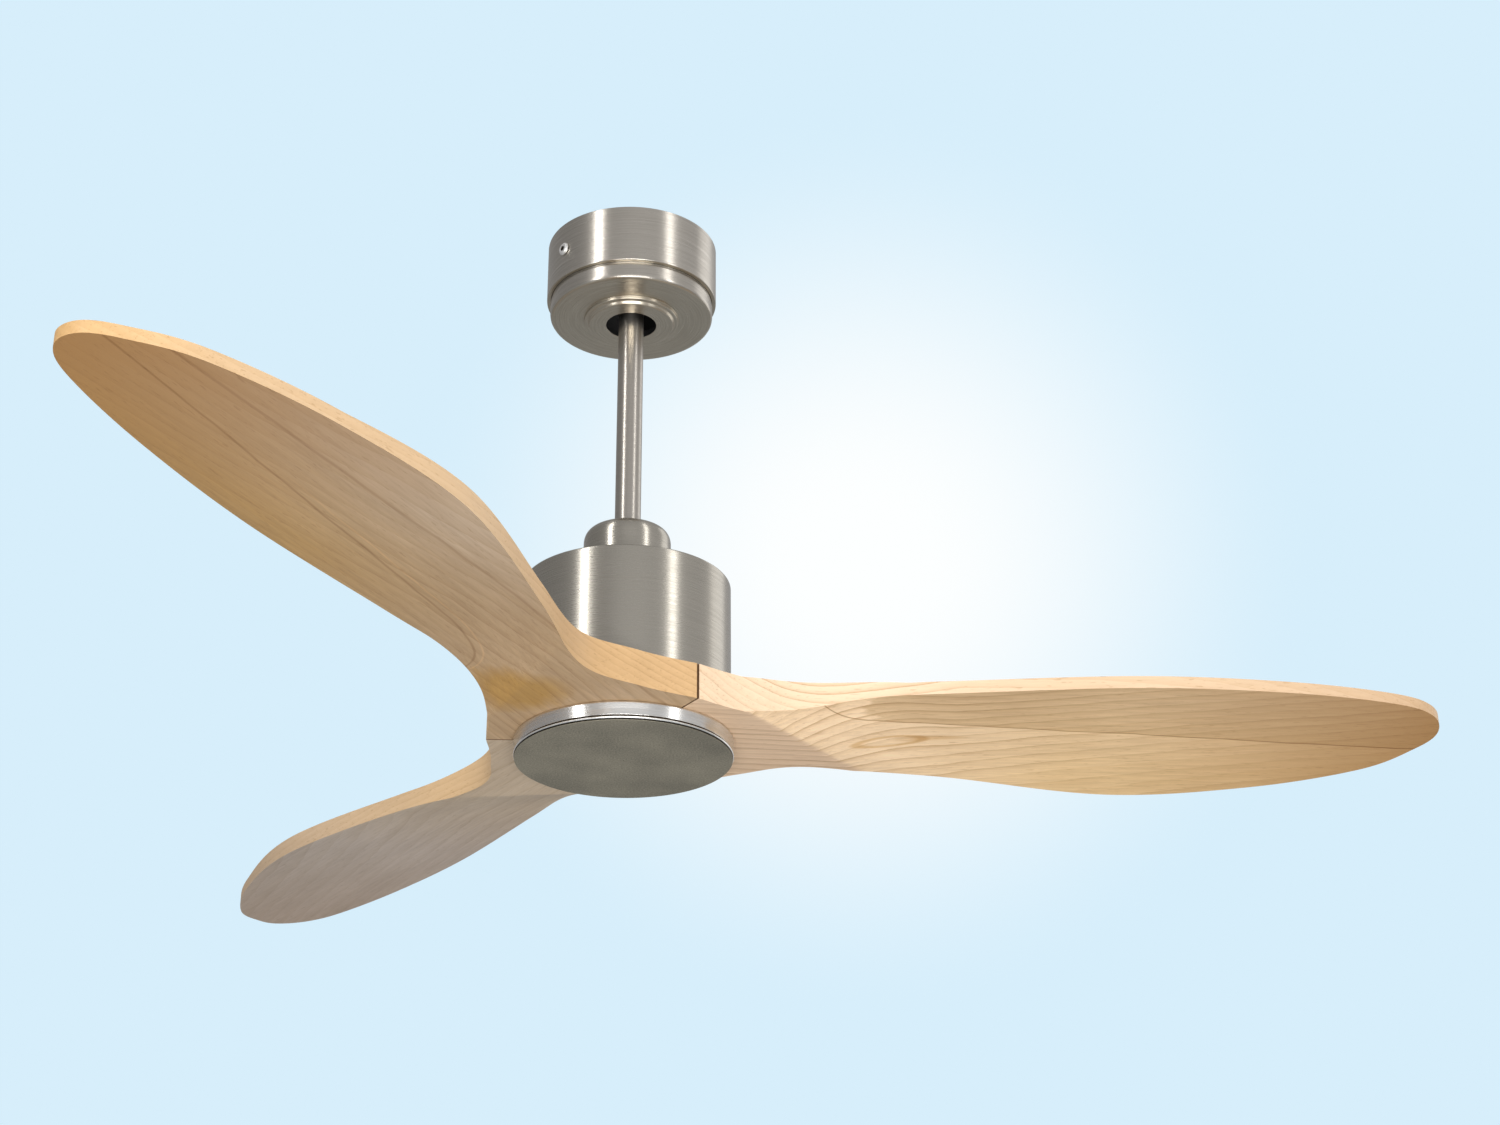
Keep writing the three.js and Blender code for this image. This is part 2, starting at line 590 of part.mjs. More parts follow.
function rotorBell() {
  const floor = HUB_TOP + GAP;
  const shelf = LOWER_BEARING_TOP - BEARING_WIDTH - GAP;
  const body = turned([
    [SHAFT_CLEARANCE, floor], [BELL_FLANGE_RADIUS, floor], [BELL_FLANGE_RADIUS, floor + 4.7],
    [BELL_OUTER, floor + 4.7], [BELL_OUTER, BELL_TOP], [BELL_INNER, BELL_TOP],
    [BELL_INNER, floor + 8.7], [BEARING_HUB, floor + 8.7], [BEARING_HUB, LOWER_BEARING_TOP + 1],
    [BEARING_SEAT, LOWER_BEARING_TOP + 1], [BEARING_SEAT, shelf], [SHAFT_CLEARANCE, shelf],
  ], MEDIUM);
  return cut(body, ...rotorScrewHoles(), ...bladeScrewHoles(floor - 1, floor + 6));
}

function rotorCover() {
  const floor = BELL_TOP + GAP;
  const shelf = UPPER_BEARING_TOP - BEARING_WIDTH - GAP;
  const body = turned([
    [SHAFT_CLEARANCE, floor], [BELL_OUTER, floor], [BELL_OUTER, floor + 3],
    [BEARING_HUB, floor + 3], [BEARING_HUB, UPPER_BEARING_TOP + 1],
    [BEARING_SEAT, UPPER_BEARING_TOP + 1], [BEARING_SEAT, shelf], [SHAFT_CLEARANCE, shelf],
  ], MEDIUM);
  return cut(body, ...rotorScrewHoles());
}

add('rotor_bell', rotorBell(), aluminium);
add('rotor_cover', rotorCover(), aluminium);
addAround('rotor_screw', 3, 30, steel, () => (
  screw(2.6, 2, 1.2, 11).rotateX(Math.PI).translate(ROTOR_SCREW_CIRCLE, 0, BELL_TOP + 3 + 2 * GAP)
));
add('magnet_ring', ring(MAGNET_INNER, MAGNET_OUTER, STATOR_BOTTOM - 5, STATOR_TOP + 5, MEDIUM), magnet);

// ---- carved wooden blades -----------------------------------------------------------------
// Each blade is one plank. Its flat root is a third of the hub and butts against its two
// neighbours. Outside the hub both faces are carved to a thin, twisted blade.

const CARVE_START = 145; // where the carving under the blade starts, on its centre line
const CARVE_SLANT = 0.78; // how fast the start of the carving moves outward with y
const CARVE_RUN = 85; // length over which it reaches its full depth
const TOP_BLEND = [108, 230]; // where the upper face leaves the hub's level
const TWIST_ROOT = 8; // degrees
const TWIST_TIP = 9;
const LIFT_ROOT = 13.5; // height of the lower face above the hub's lower face
const LIFT_TIP = 22.5;
const THICKNESS_ROOT = 10.5;
const THICKNESS_TIP = 8.5;
const FRONT_SWELL = { middle: 155, reach: 65, height: 4 }; // rises beside the leading edge
const BACK_SWELL = { middle: 320, reach: 200, height: 5 }; // and beside the trailing edge

// Leading edge, clockwise seen from above, then the trailing edge back to the hub.
const LEADING_EDGE = [
  [95, -67], [150, -49.5], [250, -56.5], [400, -66], [520, -59], [608, -43], [645, -25],
];
const BLADE_TIP = [SWEEP_RADIUS, 2];
const TRAILING_EDGE = [
  [645, 28], [608, 62], [520, 93], [400, 106], [250, 72], [150, 47.5], [95, 67],
];

function swell({ middle, reach, height }, x) {
  return height * Math.max(0, 1 - ((x - middle) / reach) ** 2);
}

function alongBlade(x) {
  return THREE.MathUtils.clamp((x - 140) / (SWEEP_RADIUS - 140), 0, 1);
}

function lowerFace(x, y) {
  const along = alongBlade(x);
  const twist = radians(lerp(TWIST_ROOT, TWIST_TIP, along ** 2));
  return lerp(LIFT_ROOT, LIFT_TIP, along) - y * Math.tan(twist);
}

function bladeThickness(x, y) {
  const thickness = lerp(THICKNESS_ROOT, THICKNESS_TIP, alongBlade(x) ** 2);
  return thickness + (swell(BACK_SWELL, x) * Math.max(y, 0)) / 100;
}

function bladeBottom(x, y) {
  const past = (x - CARVE_START - CARVE_SLANT * y) / Math.hypot(1, CARVE_SLANT);
  const share = THREE.MathUtils.clamp(past / CARVE_RUN, 0, 1);
  return lowerFace(x, y) * (1 - (1 - share) ** 2);
}

function bladeTop(x, y) {
  const share = smoothstep(x, ...TOP_BLEND);
  const front = (swell(FRONT_SWELL, x) * Math.max(-y, 0)) / 50;
  return lerp(HUB_THICKNESS, lowerFace(x, y) + bladeThickness(x, y), share) + front;
}

function bladeOutline() {
  const half = Math.PI / BLADE_COUNT;
  const inset = GAP / 2; // each joint face stands back by half the gap
  const onJoint = (radius, side) => new THREE.Vector2(
    radius * Math.cos(half) + inset * Math.sin(half),
    side * (radius * Math.sin(half) - inset * Math.cos(half)),
  );
  const vector = ([x, y]) => new THREE.Vector2(x, y);
  const outline = new THREE.Shape();
  outline.moveTo(onJoint(HUB_BORE, -1).x, onJoint(HUB_BORE, -1).y);
  outline.lineTo(onJoint(JOINT_RADIUS, -1).x, onJoint(JOINT_RADIUS, -1).y);
  outline.splineThru([
    ...LEADING_EDGE.map(vector), vector(BLADE_TIP), ...TRAILING_EDGE.map(vector),
    onJoint(JOINT_RADIUS, 1),
  ]);
  outline.lineTo(onJoint(HUB_BORE, 1).x, onJoint(HUB_BORE, 1).y);
  outline.absarc(0, 0, HUB_BORE, half * 0.97, -half * 0.97, true);
  return outline;
}

function blade() {
  const settings = { depth: 80, bevelEnabled: false, curveSegments: 3 };
  const plank = new THREE.ExtrudeGeometry(bladeOutline(), settings).translate(0, 0, -20);
  const carved = new THREE.BoxGeometry(1, 1, 1, 24, 8, 1);
  const place = carved.attributes.position;
  for (let i = 0; i < place.count; i += 1) {
    const x = lerp(10, SWEEP_RADIUS + 5, (place.getX(i) + 0.5) ** 1.5);
    const y = 250 * place.getY(i);
    place.setXYZ(i, x, y, place.getZ(i) > 0 ? bladeTop(x, y) : bladeBottom(x, y));
  }
  const holes = [-1, 1].map((side) => (
    rodZ(BLADE_SCREW_HOLE, -10, 50).translate(BLADE_SCREW_X, side * BLADE_SCREW_Y, 0)
  ));
  const body = holes.map(toSolid).reduce((rest, hole) => rest.subtract(hole),
    toSolid(plank).intersect(toSolid(carved)));
  return toGeometry(body).translate(0, 0, HUB_BOTTOM);
}

addAround('blade', BLADE_COUNT, BLADE_AZIMUTH, wood, blade);

// ---- blade plate and bottom cover ---------------------------------------------------------

const plateBottom = PLATE_TOP - PLATE_THICKNESS;

function coverScrewHoles(z0, z1) {
  return around(3, 60, () => (
    rodZ(COVER_SCREW_HOLE, z0, z1).translate(COVER_SCREW_CIRCLE, 0, 0)
  ));
}

function bladePlate() {
  return cut(ring(PLATE_BORE, PLATE_RADIUS, plateBottom, PLATE_TOP, MEDIUM),
    ...bladeScrewHoles(plateBottom - 1, PLATE_TOP + 1),
    ...coverScrewHoles(plateBottom - 1, PLATE_TOP + 1));
}

const webBottom = COVER_WEB_TOP - COVER_WEB;

function coverRing() {
  const wall = COVER_RADIUS - COVER_WALL - COVER_BAND_TAPER;
  const body = turned([
    [COVER_RADIUS - COVER_BAND_TAPER, COVER_BAND_BOTTOM],
    [COVER_RADIUS - COVER_BAND_TAPER / 2, lerp(COVER_BAND_BOTTOM, PLATE_TOP, 0.45)],
    [COVER_RADIUS, lerp(COVER_BAND_BOTTOM, PLATE_TOP, 0.92)], [COVER_RADIUS - 0.2, PLATE_TOP],
    [wall, PLATE_TOP], [wall, COVER_WEB_TOP], [COVER_WEB_HOLE, COVER_WEB_TOP],
    [COVER_WEB_HOLE, webBottom], [wall, webBottom], [wall, COVER_BAND_BOTTOM],
  ], FINE);
  return cut(body, ...coverScrewHoles(webBottom - 1, COVER_WEB_TOP + 1));
}

function coverLip() {
  const top = COVER_BAND_BOTTOM - GAP;
  const round = (top - LIP_BOTTOM) / 2;
  return turned([
    [LIP_INNER, top], ...arc(LIP_OUTER - round, (top + LIP_BOTTOM) / 2, round, 90, -90, 6),
    [LIP_INNER, LIP_BOTTOM],
  ], FINE);
}

function coverPlate() {
  const top = LIP_BOTTOM - GAP;
  return turned([
    [0, top], [COVER_PLATE_RADIUS, top], [COVER_PLATE_RADIUS, COVER_BOTTOM + 0.5],
    [COVER_PLATE_RADIUS - 0.5, COVER_BOTTOM], [0, COVER_BOTTOM],
  ], FINE);
}

add('blade_plate', bladePlate(), zincSteel);
const bladeScrew = () => screw(5, 3, 2.5, BLADE_SCREW_LENGTH).translate(0, 0, plateBottom - GAP);
bladeScrewPlaces().forEach((place, i) => {
  add(`blade_screw_${i + 1}`, place(bladeScrew()), steel);
});
add('cover_ring', coverRing(), nickel);
addAround('cover_screw', 3, 60, steel, () => (
  screw(4.4, 2.1, 2, 8).translate(COVER_SCREW_CIRCLE, 0, webBottom - GAP)
));
add('cover_lip', coverLip(), nickelPolished);
add('cover_plate', coverPlate(), plateSatin);

export default fan;
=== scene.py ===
"""A three-blade ceiling fan on a short down rod, seen from below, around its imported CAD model."""

import json
from math import cos, hypot, pi, radians, sin, tan

import bmesh
import bpy
from mathutils import Matrix, Vector


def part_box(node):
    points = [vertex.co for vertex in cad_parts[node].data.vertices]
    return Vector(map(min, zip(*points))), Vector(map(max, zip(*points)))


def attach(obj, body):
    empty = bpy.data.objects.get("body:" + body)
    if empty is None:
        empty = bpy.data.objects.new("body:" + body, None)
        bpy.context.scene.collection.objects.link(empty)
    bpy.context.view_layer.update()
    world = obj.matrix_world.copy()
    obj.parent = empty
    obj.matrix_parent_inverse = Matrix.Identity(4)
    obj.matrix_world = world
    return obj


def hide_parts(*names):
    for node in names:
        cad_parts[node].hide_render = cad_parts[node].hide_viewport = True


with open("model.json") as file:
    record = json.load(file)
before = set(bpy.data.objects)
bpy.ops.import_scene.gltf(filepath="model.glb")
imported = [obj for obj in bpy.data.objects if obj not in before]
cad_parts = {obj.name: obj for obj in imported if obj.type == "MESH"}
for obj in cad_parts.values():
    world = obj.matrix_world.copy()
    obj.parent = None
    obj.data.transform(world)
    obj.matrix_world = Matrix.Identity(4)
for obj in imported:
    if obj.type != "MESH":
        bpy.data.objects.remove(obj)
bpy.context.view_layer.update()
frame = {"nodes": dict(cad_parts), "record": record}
MM = 0.001  # the scene is in metres, the outlines of the pieces are in mm

# ---- camera ------------------------------------------------------------------------------

SENSOR_WIDTH = 36.0  # mm
CAMERA_LENS = 58.9   # mm
CAMERA_PLACE = (0.1002, -1.804, -1.1598)
CAMERA_PITCH = radians(25.52)
CAMERA_ROLL = radians(-0.36)


def make_camera():
    data = bpy.data.cameras.new("camera")
    data.lens = CAMERA_LENS
    data.sensor_width = SENSOR_WIDTH
    camera = bpy.data.objects.new("camera", data)
    camera.location = CAMERA_PLACE
    turn = Matrix.Rotation(pi / 2 + CAMERA_PITCH, 3, "X") @ Matrix.Rotation(CAMERA_ROLL, 3, "Z")
    camera.rotation_euler = turn.to_euler()
    bpy.context.scene.collection.objects.link(camera)
    bpy.context.scene.camera = camera


make_camera()

# ---- node helpers ------------------------------------------------------------------------

MIX_FIRST, MIX_SECOND, MIX_RESULT = 6, 7, 2  # the Mix node's sockets for colours


class Nodes:
    """Short calls for building a node tree."""

    def __init__(self, owner):
        owner.use_nodes = True
        self.tree = owner.node_tree

    def add(self, kind, **settings):
        node = self.tree.nodes.new(kind)
        for key, value in settings.items():
            setattr(node, key, value)
        return node

    def put(self, value, socket):
        if isinstance(value, bpy.types.NodeSocket):
            self.tree.links.new(value, socket)
        else:
            socket.default_value = value

    def fill(self, node, *values):
        """The node with values on its inputs, in their order."""
        for value, socket in zip(values, node.inputs):
            self.put(value, socket)
        return node

    def math(self, operation, *values):
        return self.fill(self.add("ShaderNodeMath", operation=operation), *values).outputs[0]

    def plus(self, first, second):
        return self.math("ADD", first, second)

    def minus(self, first, second):
        return self.math("SUBTRACT", first, second)

    def over(self, first, second):
        return self.math("DIVIDE", first, second)

    def times(self, product, *factors):
        for factor in factors:
            product = self.math("MULTIPLY", product, factor)
        return product

    def squares(self, first, second):
        """The sum of two squares."""
        return self.plus(self.times(first, first), self.times(second, second))

    def about_zero(self, noise, width):
        """Noise from 0 to 1 moved to lie about zero, this wide."""
        return self.times(self.minus(noise, 0.5), width)

    def vector(self, x, y, z):
        return self.fill(self.add("ShaderNodeCombineXYZ"), x, y, z).outputs[0]

    def stretched(self, place, scales):
        """A place with its x, y and z multiplied by the scales."""
        return self.vector(*(self.times(part, scale) for part, scale in zip(place, scales)))

    def split(self, vector):
        return tuple(self.fill(self.add("ShaderNodeSeparateXYZ"), vector).outputs)

    def dot(self, first, second):
        node = self.add("ShaderNodeVectorMath", operation="DOT_PRODUCT")
        return self.fill(node, first, second).outputs["Value"]

    def noise(self, vector, scale=1.0, detail=2.0, roughness=0.5, w=None):
        node = self.add("ShaderNodeTexNoise")
        if w is not None:
            node.noise_dimensions = "4D"
            self.put(w, node.inputs["W"])
        self.put(vector, node.inputs["Vector"])
        self.put(scale, node.inputs["Scale"])
        self.put(detail, node.inputs["Detail"])
        self.put(roughness, node.inputs["Roughness"])
        return node.outputs["Fac"]

    def span(self, value, low, high, new_low=0.0, new_high=1.0, **settings):
        """The value's range from low to high spread over a new range, and held at its ends."""
        node = self.add("ShaderNodeMapRange", **settings)
        return self.fill(node, value, low, high, new_low, new_high).outputs[0]

    def blend(self, share, first, second, mode="MIX"):
        node = self.add("ShaderNodeMix", data_type="RGBA", blend_type=mode)
        self.put(share, node.inputs["Factor"])
        self.put(first, node.inputs[MIX_FIRST])
        self.put(second, node.inputs[MIX_SECOND])
        return node.outputs[MIX_RESULT]

    def tint(self, share, tone, factor):
        """The tone multiplied by a factor colour, by the given share."""
        return self.blend(share, tone, self.blend(1.0, tone, factor, "MULTIPLY"))


class Surface(Nodes):
    """The node tree of a new material."""

    def __init__(self, name):
        self.material = bpy.data.materials.new(name)
        super().__init__(self.material)
        self.shader = self.tree.nodes["Principled BSDF"]

    def place(self):
        return self.add("ShaderNodeTexCoord").outputs["Object"]

    def mottle(self, scale, detail=2.0, roughness=0.5):
        """Noise that is fixed to the object."""
        return self.noise(self.place(), scale, detail, roughness)

    def set(self, **values):
        for key, value in values.items():
            self.put(value, self.shader.inputs[key.replace("_", " ")])

    def bump(self, height, strength, distance):
        node = self.add("ShaderNodeBump")
        self.put(strength, node.inputs["Strength"])
        self.put(distance, node.inputs["Distance"])
        self.put(height, node.inputs["Height"])
        self.set(Normal=node.outputs[0])


def colour(red, green, blue):
    """A linear colour from 0 to 255 screen values."""
    def linear(value):
        value /= 255
        return value / 12.92 if value <= 0.04045 else ((value + 0.055) / 1.055) ** 2.4
    return (linear(red), linear(green), linear(blue), 1.0)


# ---- metals and plastics -----------------------------------------------------------------

BRUSH_PITCH = 0.0004      # spacing of the fine brush lines, metres
BROAD_PITCH = BRUSH_PITCH * 7
FINE_SHARE, BROAD_SHARE = 0.88, 0.12
BRUSH_LENGTH = 1.7        # streaks per radian round the axis
ACROSS_THE_BRUSH = 0.25   # turns the stretched highlight across the brush lines
AXIS_CORE = 0.001         # the brush lines no longer tighten inside this radius, metres


def brush_lines(nodes, pitch, roughness=0.5):
    """Streaks that run round the axis on walls and faces alike, without a seam."""
    x, y, z = nodes.split(nodes.place())
    radius = nodes.math("MAXIMUM", nodes.math("SQRT", nodes.squares(x, y)), AXIS_CORE)
    length = nodes.over(BRUSH_LENGTH, radius)
    around = nodes.vector(nodes.times(x, length), nodes.times(y, length), nodes.over(z, pitch))
    return nodes.noise(around, roughness=roughness, w=nodes.over(radius, pitch))


def brushed_metal(name, light, dark, roughness, stretch, relief=0.025):
    """Metal brushed round the fan's axis."""
    nodes = Surface(name)
    fine = brush_lines(nodes, BRUSH_PITCH, roughness=0.6)
    broad = brush_lines(nodes, BROAD_PITCH)
    mixed = nodes.plus(nodes.times(fine, FINE_SHARE), nodes.times(broad, BROAD_SHARE))
    streak = nodes.span(mixed, 0.34, 0.66)
    nodes.set(Base_Color=nodes.blend(streak, dark, light), Metallic=1.0,
              Roughness=nodes.span(streak, 0.0, 1.0, roughness + 0.05, roughness - 0.04),
              Anisotropic=stretch, Anisotropic_Rotation=ACROSS_THE_BRUSH)
    nodes.bump(fine, relief, 0.0001)
    return nodes.material


def blasted_metal(name, light, dark):
    """Fine sand-blasted satin, for the flat cover plate."""
    nodes = Surface(name)
    grit = nodes.mottle(700.0, 4.0, 0.75)
    cloud = nodes.mottle(24.0, 4.0)
    spread = nodes.span(nodes.plus(nodes.times(grit, 0.7), nodes.times(cloud, 0.3)), 0.36, 0.64)
    nodes.set(Base_Color=nodes.blend(spread, dark, light), Metallic=0.55,
              Roughness=nodes.span(cloud, 0.3, 0.7, 0.52, 0.62))
    nodes.bump(grit, 0.12, 0.0002)
    return nodes.material


def plain_metal(name, light, dark, roughness, scale=160.0):
    """Machined or plated metal with mottling."""
    nodes = Surface(name)
    spread = nodes.span(nodes.mottle(scale, 5.0, 0.65), 0.32, 0.68)
    nodes.set(Base_Color=nodes.blend(spread, dark, light), Metallic=1.0,
              Roughness=nodes.span(spread, 0.0, 1.0, roughness + 0.1, roughness - 0.05))
    nodes.bump(nodes.mottle(scale * 9), 0.06, 0.0002)
    return nodes.material


def moulded(name, light, dark, roughness, grain=1400.0, depth=0.08):
    """Moulded plastic, rubber or thick paint with a fine grain."""
    nodes = Surface(name)
    grit = nodes.mottle(grain, roughness=0.6)
    cloud = nodes.mottle(30.0, 3.0)
    nodes.set(Base_Color=nodes.blend(nodes.span(cloud, 0.3, 0.7), dark, light),
              Roughness=nodes.span(grit, 0.3, 0.7, roughness - 0.06, roughness + 0.08))
    nodes.bump(grit, depth, 0.0003)
    return nodes.material


NICKEL = brushed_metal("nickel", colour(205, 199, 189), colour(178, 172, 162), 0.30, 0.75)
NICKEL_FACE = brushed_metal("nickel_face", colour(206, 197, 180), colour(180, 171, 155), 0.30, 0.6)
MOTOR_NICKEL = brushed_metal("motor_nickel", colour(190, 184, 173), colour(172, 167, 156), 0.27,
                             0.75, relief=0.01)
ROD_NICKEL = brushed_metal("rod_nickel", colour(190, 184, 175), colour(176, 170, 161), 0.33, 0.6,
                           relief=0.01)
BAND_NICKEL = brushed_metal("band_nickel", colour(234, 233, 230), colour(214, 212, 208), 0.23, 0.5)
PLATE = blasted_metal("satin_plate", colour(172, 164, 145), colour(116, 111, 97))
SCREW_NICKEL = plain_metal("screw_nickel", colour(246, 245, 242), colour(232, 230, 226), 0.45)
LIP_METAL = plain_metal("lip_nickel", colour(254, 253, 250), colour(246, 244, 240), 0.3)
# Dark tone for the grooves and the screws' sockets: painted shade.
GROOVE_SHADE = plain_metal("painted_groove_shade", colour(74, 68, 59), colour(52, 48, 42), 0.55)
# Near-black, painted shade for the unlit inside of the canopy's shell.
PAINTED_INNER_SHADE = moulded("inner_shade_paint", colour(30, 29, 28), colour(18, 18, 18), 0.8, 500.0, 0.1)

# Slots whose pieces keep their CAD shape: light and dark tone, roughness, then size of the grain.
PLAIN_METALS = {
    "zinc_steel": (colour(196, 197, 190), colour(150, 152, 146), 0.38, 90.0),
    "steel": (colour(186, 187, 188), colour(140, 141, 143), 0.32),
    "cast_aluminium": (colour(198, 200, 202), colour(160, 162, 165), 0.42, 220.0),
    "laminations": (colour(110, 112, 115), colour(74, 76, 79), 0.5, 300.0),
    "magnet": (colour(70, 71, 76), colour(46, 47, 51), 0.55, 260.0),
    "copper": (colour(205, 122, 72), colour(150, 80, 42), 0.3, 420.0),
}
MOULDED = {  # as above, and then the grain's depth
    "rubber": (colour(30, 30, 31), colour(20, 20, 21), 0.62, 900.0, 0.15),
    "black_plastic": (colour(32, 33, 35), colour(22, 23, 25), 0.45),
    "white_plastic": (colour(229, 227, 220), colour(214, 212, 204), 0.42),
    "lead_jacket": (colour(44, 44, 47), colour(30, 30, 32), 0.5, 700.0, 0.12),
    # The hanger bracket's near-black is partly its coating and partly painted shade, for the dark
    # view up through the canopy's hole.
    "black_steel": (colour(38, 38, 38), colour(26, 26, 26), 0.4, 700.0, 0.05),
}

# ---- wood --------------------------------------------------------------------------------

# Places in the wood are in metres: along the blade from the fan's axis, across it towards its
# trailing edge, and up from its lowest level.
RING_SPACING = 0.0056
PITH = (0.320, 0.500)     # where the tree's centre was, across and up
SLOW_WAVE = 0.006         # how far the growth rings wander
QUICK_WAVE = 0.0024
LINE_WAVE = 0.005
ROOT_TAPER = 0.04         # how fast the rings run out along the blade
TIP_TAPER = 0.09          # and how fast they come back
TAPER_TURN = 0.26         # beyond this place
JOINT_ANGLE = radians(60)  # the joint planes lie this far either side of the blade

# Multipliers over a plank's ground colour.
WOOD_DARKER = (0.80, 0.76, 0.71, 1.0)
WOOD_LIGHTER = (1.13, 1.14, 1.15, 1.0)
WOOD_LINE = (0.56, 0.44, 0.30, 1.0)
WOOD_SEASON = (0.90, 0.86, 0.78, 1.0)
# painted shade: darker and cooler on the level hub underneath, up to the crease
FLAT_HUB_SHADE = (0.84, 0.82, 0.86, 1.0)
# the joints' own dark line, and painted shade in the gap between the blades
JOINT_LINE_AND_GAP_SHADE = (0.20, 0.14, 0.09, 1.0)
HEARTWOOD = (0.78, 0.74, 0.66, 1.0)
HEART_LINE = (0.50, 0.40, 0.27, 1.0)
KNOT_RIM = (0.72, 0.58, 0.36, 1.0)
KNOT_TAIL = (0.76, 0.64, 0.44, 1.0)
DARK_STREAK = (0.62, 0.52, 0.40, 1.0)
LIGHT_LINE = (1.22, 1.18, 1.12, 1.0)
VEIN = (0.66, 0.56, 0.46, 1.0)
OCHRE = (0.90, 0.76, 0.40, 1.0)

WOOD_TIP = colour(172, 124, 68)


def ring_distance(nodes, place, seed):
    """Distance from the tree's centre, which tapers and waves along the plank."""
    x, y, z = place
    slow = nodes.noise(nodes.stretched(place, (5.5, 11.0, 20.0)), detail=1.0, w=seed)
    quick = nodes.noise(nodes.stretched(place, (24.0, 60.0, 60.0)), detail=3.0, w=seed)
    wave = nodes.plus(nodes.about_zero(slow, SLOW_WAVE), nodes.about_zero(quick, QUICK_WAVE))
    across, up = nodes.minus(y, PITH[0]), nodes.minus(z, PITH[1])
    round_pith = nodes.math("SQRT", nodes.squares(across, up))
    beyond = nodes.math("MAXIMUM", nodes.minus(x, TAPER_TURN), 0.0)
    taper = nodes.minus(nodes.times(x, ROOT_TAPER), nodes.times(beyond, TIP_TAPER))
    return nodes.plus(nodes.plus(round_pith, taper), wave)


def bent_line(nodes, x, start, level, slope, drop, bend):
    """How far across a line lies: straight along the blade, then bending off near the root."""
    past = nodes.over(nodes.minus(start, x), bend)
    falling = nodes.times(nodes.math("EXPONENT", nodes.math("MINIMUM", past, 2.0)), drop)
    rising = nodes.plus(nodes.times(nodes.minus(x, start), slope), level)
    waves = nodes.noise(nodes.vector(nodes.times(x, 16.0), slope, level))
    return nodes.plus(nodes.minus(rising, falling), nodes.about_zero(waves, LINE_WAVE))


def stripe(nodes, offset, half_width):
    """One on the line and nothing beyond its half width."""
    return nodes.minus(1.0, nodes.span(nodes.math("ABSOLUTE", offset), half_width * 0.3,
                                       half_width))


def oval(nodes, x, y, centre, size):
    """Squared distance from an oval's centre, one on its outline."""
    return nodes.squares(nodes.over(nodes.minus(x, centre[0]), size[0]),
                         nodes.over(nodes.minus(y, centre[1]), size[1]))


def golden_plank(nodes, place, quick, face, tone):
    """Grey-brown heartwood in front of an S-shaped line, and a closed oval ring behind it."""
    x, y, z = place
    line = bent_line(nodes, x, start=0.152, level=-0.0186, slope=0.095, drop=0.034, bend=0.022)
    offset = nodes.minus(y, line)
    # Painted shade on the level hub underneath, up to the crease, near the root.
    hub = nodes.times(nodes.span(z, 0.0011, 0.0003), face)
    tone = nodes.tint(nodes.times(hub, nodes.span(x, 0.26, 0.2)), tone, FLAT_HUB_SHADE)
    ragged = nodes.plus(x, nodes.about_zero(quick, 0.05))
    heart = nodes.times(nodes.span(offset, 0.0, -0.0012), nodes.span(ragged, 0.186, 0.196),
                        nodes.span(x, 0.30, 0.60, 1.0, 0.35), face)
    tone = nodes.tint(heart, tone, HEARTWOOD)
    tone = nodes.tint(nodes.times(stripe(nodes, offset, 0.0011), face, 0.85), tone, HEART_LINE)
    knot = oval(nodes, x, y, centre=(0.212, 0.013), size=(0.027, 0.0068))
    rim = stripe(nodes, nodes.minus(knot, 1.0), 0.62)
    tone = nodes.tint(nodes.times(rim, 0.7), tone, KNOT_RIM)
    tail = nodes.span(oval(nodes, x, y, centre=(0.245, 0.012), size=(0.034, 0.0048)), 1.0, 0.1)
    return nodes.tint(nodes.times(tail, 0.55), tone, KNOT_TAIL)


def ochre_plank(nodes, place, quick, face, tone):
    """A light line that bends off at the root, dark streaks and an ochre patch on the hub."""
    x, y, _ = place
    line = bent_line(nodes, x, start=0.155, level=-0.0135, slope=0.08, drop=0.030, bend=0.018)
    offset = nodes.minus(y, line)
    dark = stripe(nodes, nodes.plus(offset, 0.0075), 0.0016)
    tone = nodes.tint(nodes.times(dark, face, 0.6), tone, DARK_STREAK)
    light = nodes.times(stripe(nodes, offset, 0.0013), nodes.span(x, 0.50, 0.36))
    tone = nodes.tint(nodes.times(light, face, 0.8), tone, LIGHT_LINE)
    streak = bent_line(nodes, x, start=0.150, level=0.063, slope=-0.03, drop=0.0, bend=0.05)
    vein = stripe(nodes, nodes.minus(y, streak), 0.0022)
    tone = nodes.tint(nodes.times(vein, face, 0.5), tone, VEIN)
    ragged = nodes.plus(x, nodes.times(quick, 0.02))
    patch = oval(nodes, ragged, y, centre=(0.134, -0.022), size=(0.034, 0.040))
    return nodes.tint(nodes.times(nodes.span(patch, 1.3, 0.3), face), tone, OCHRE)


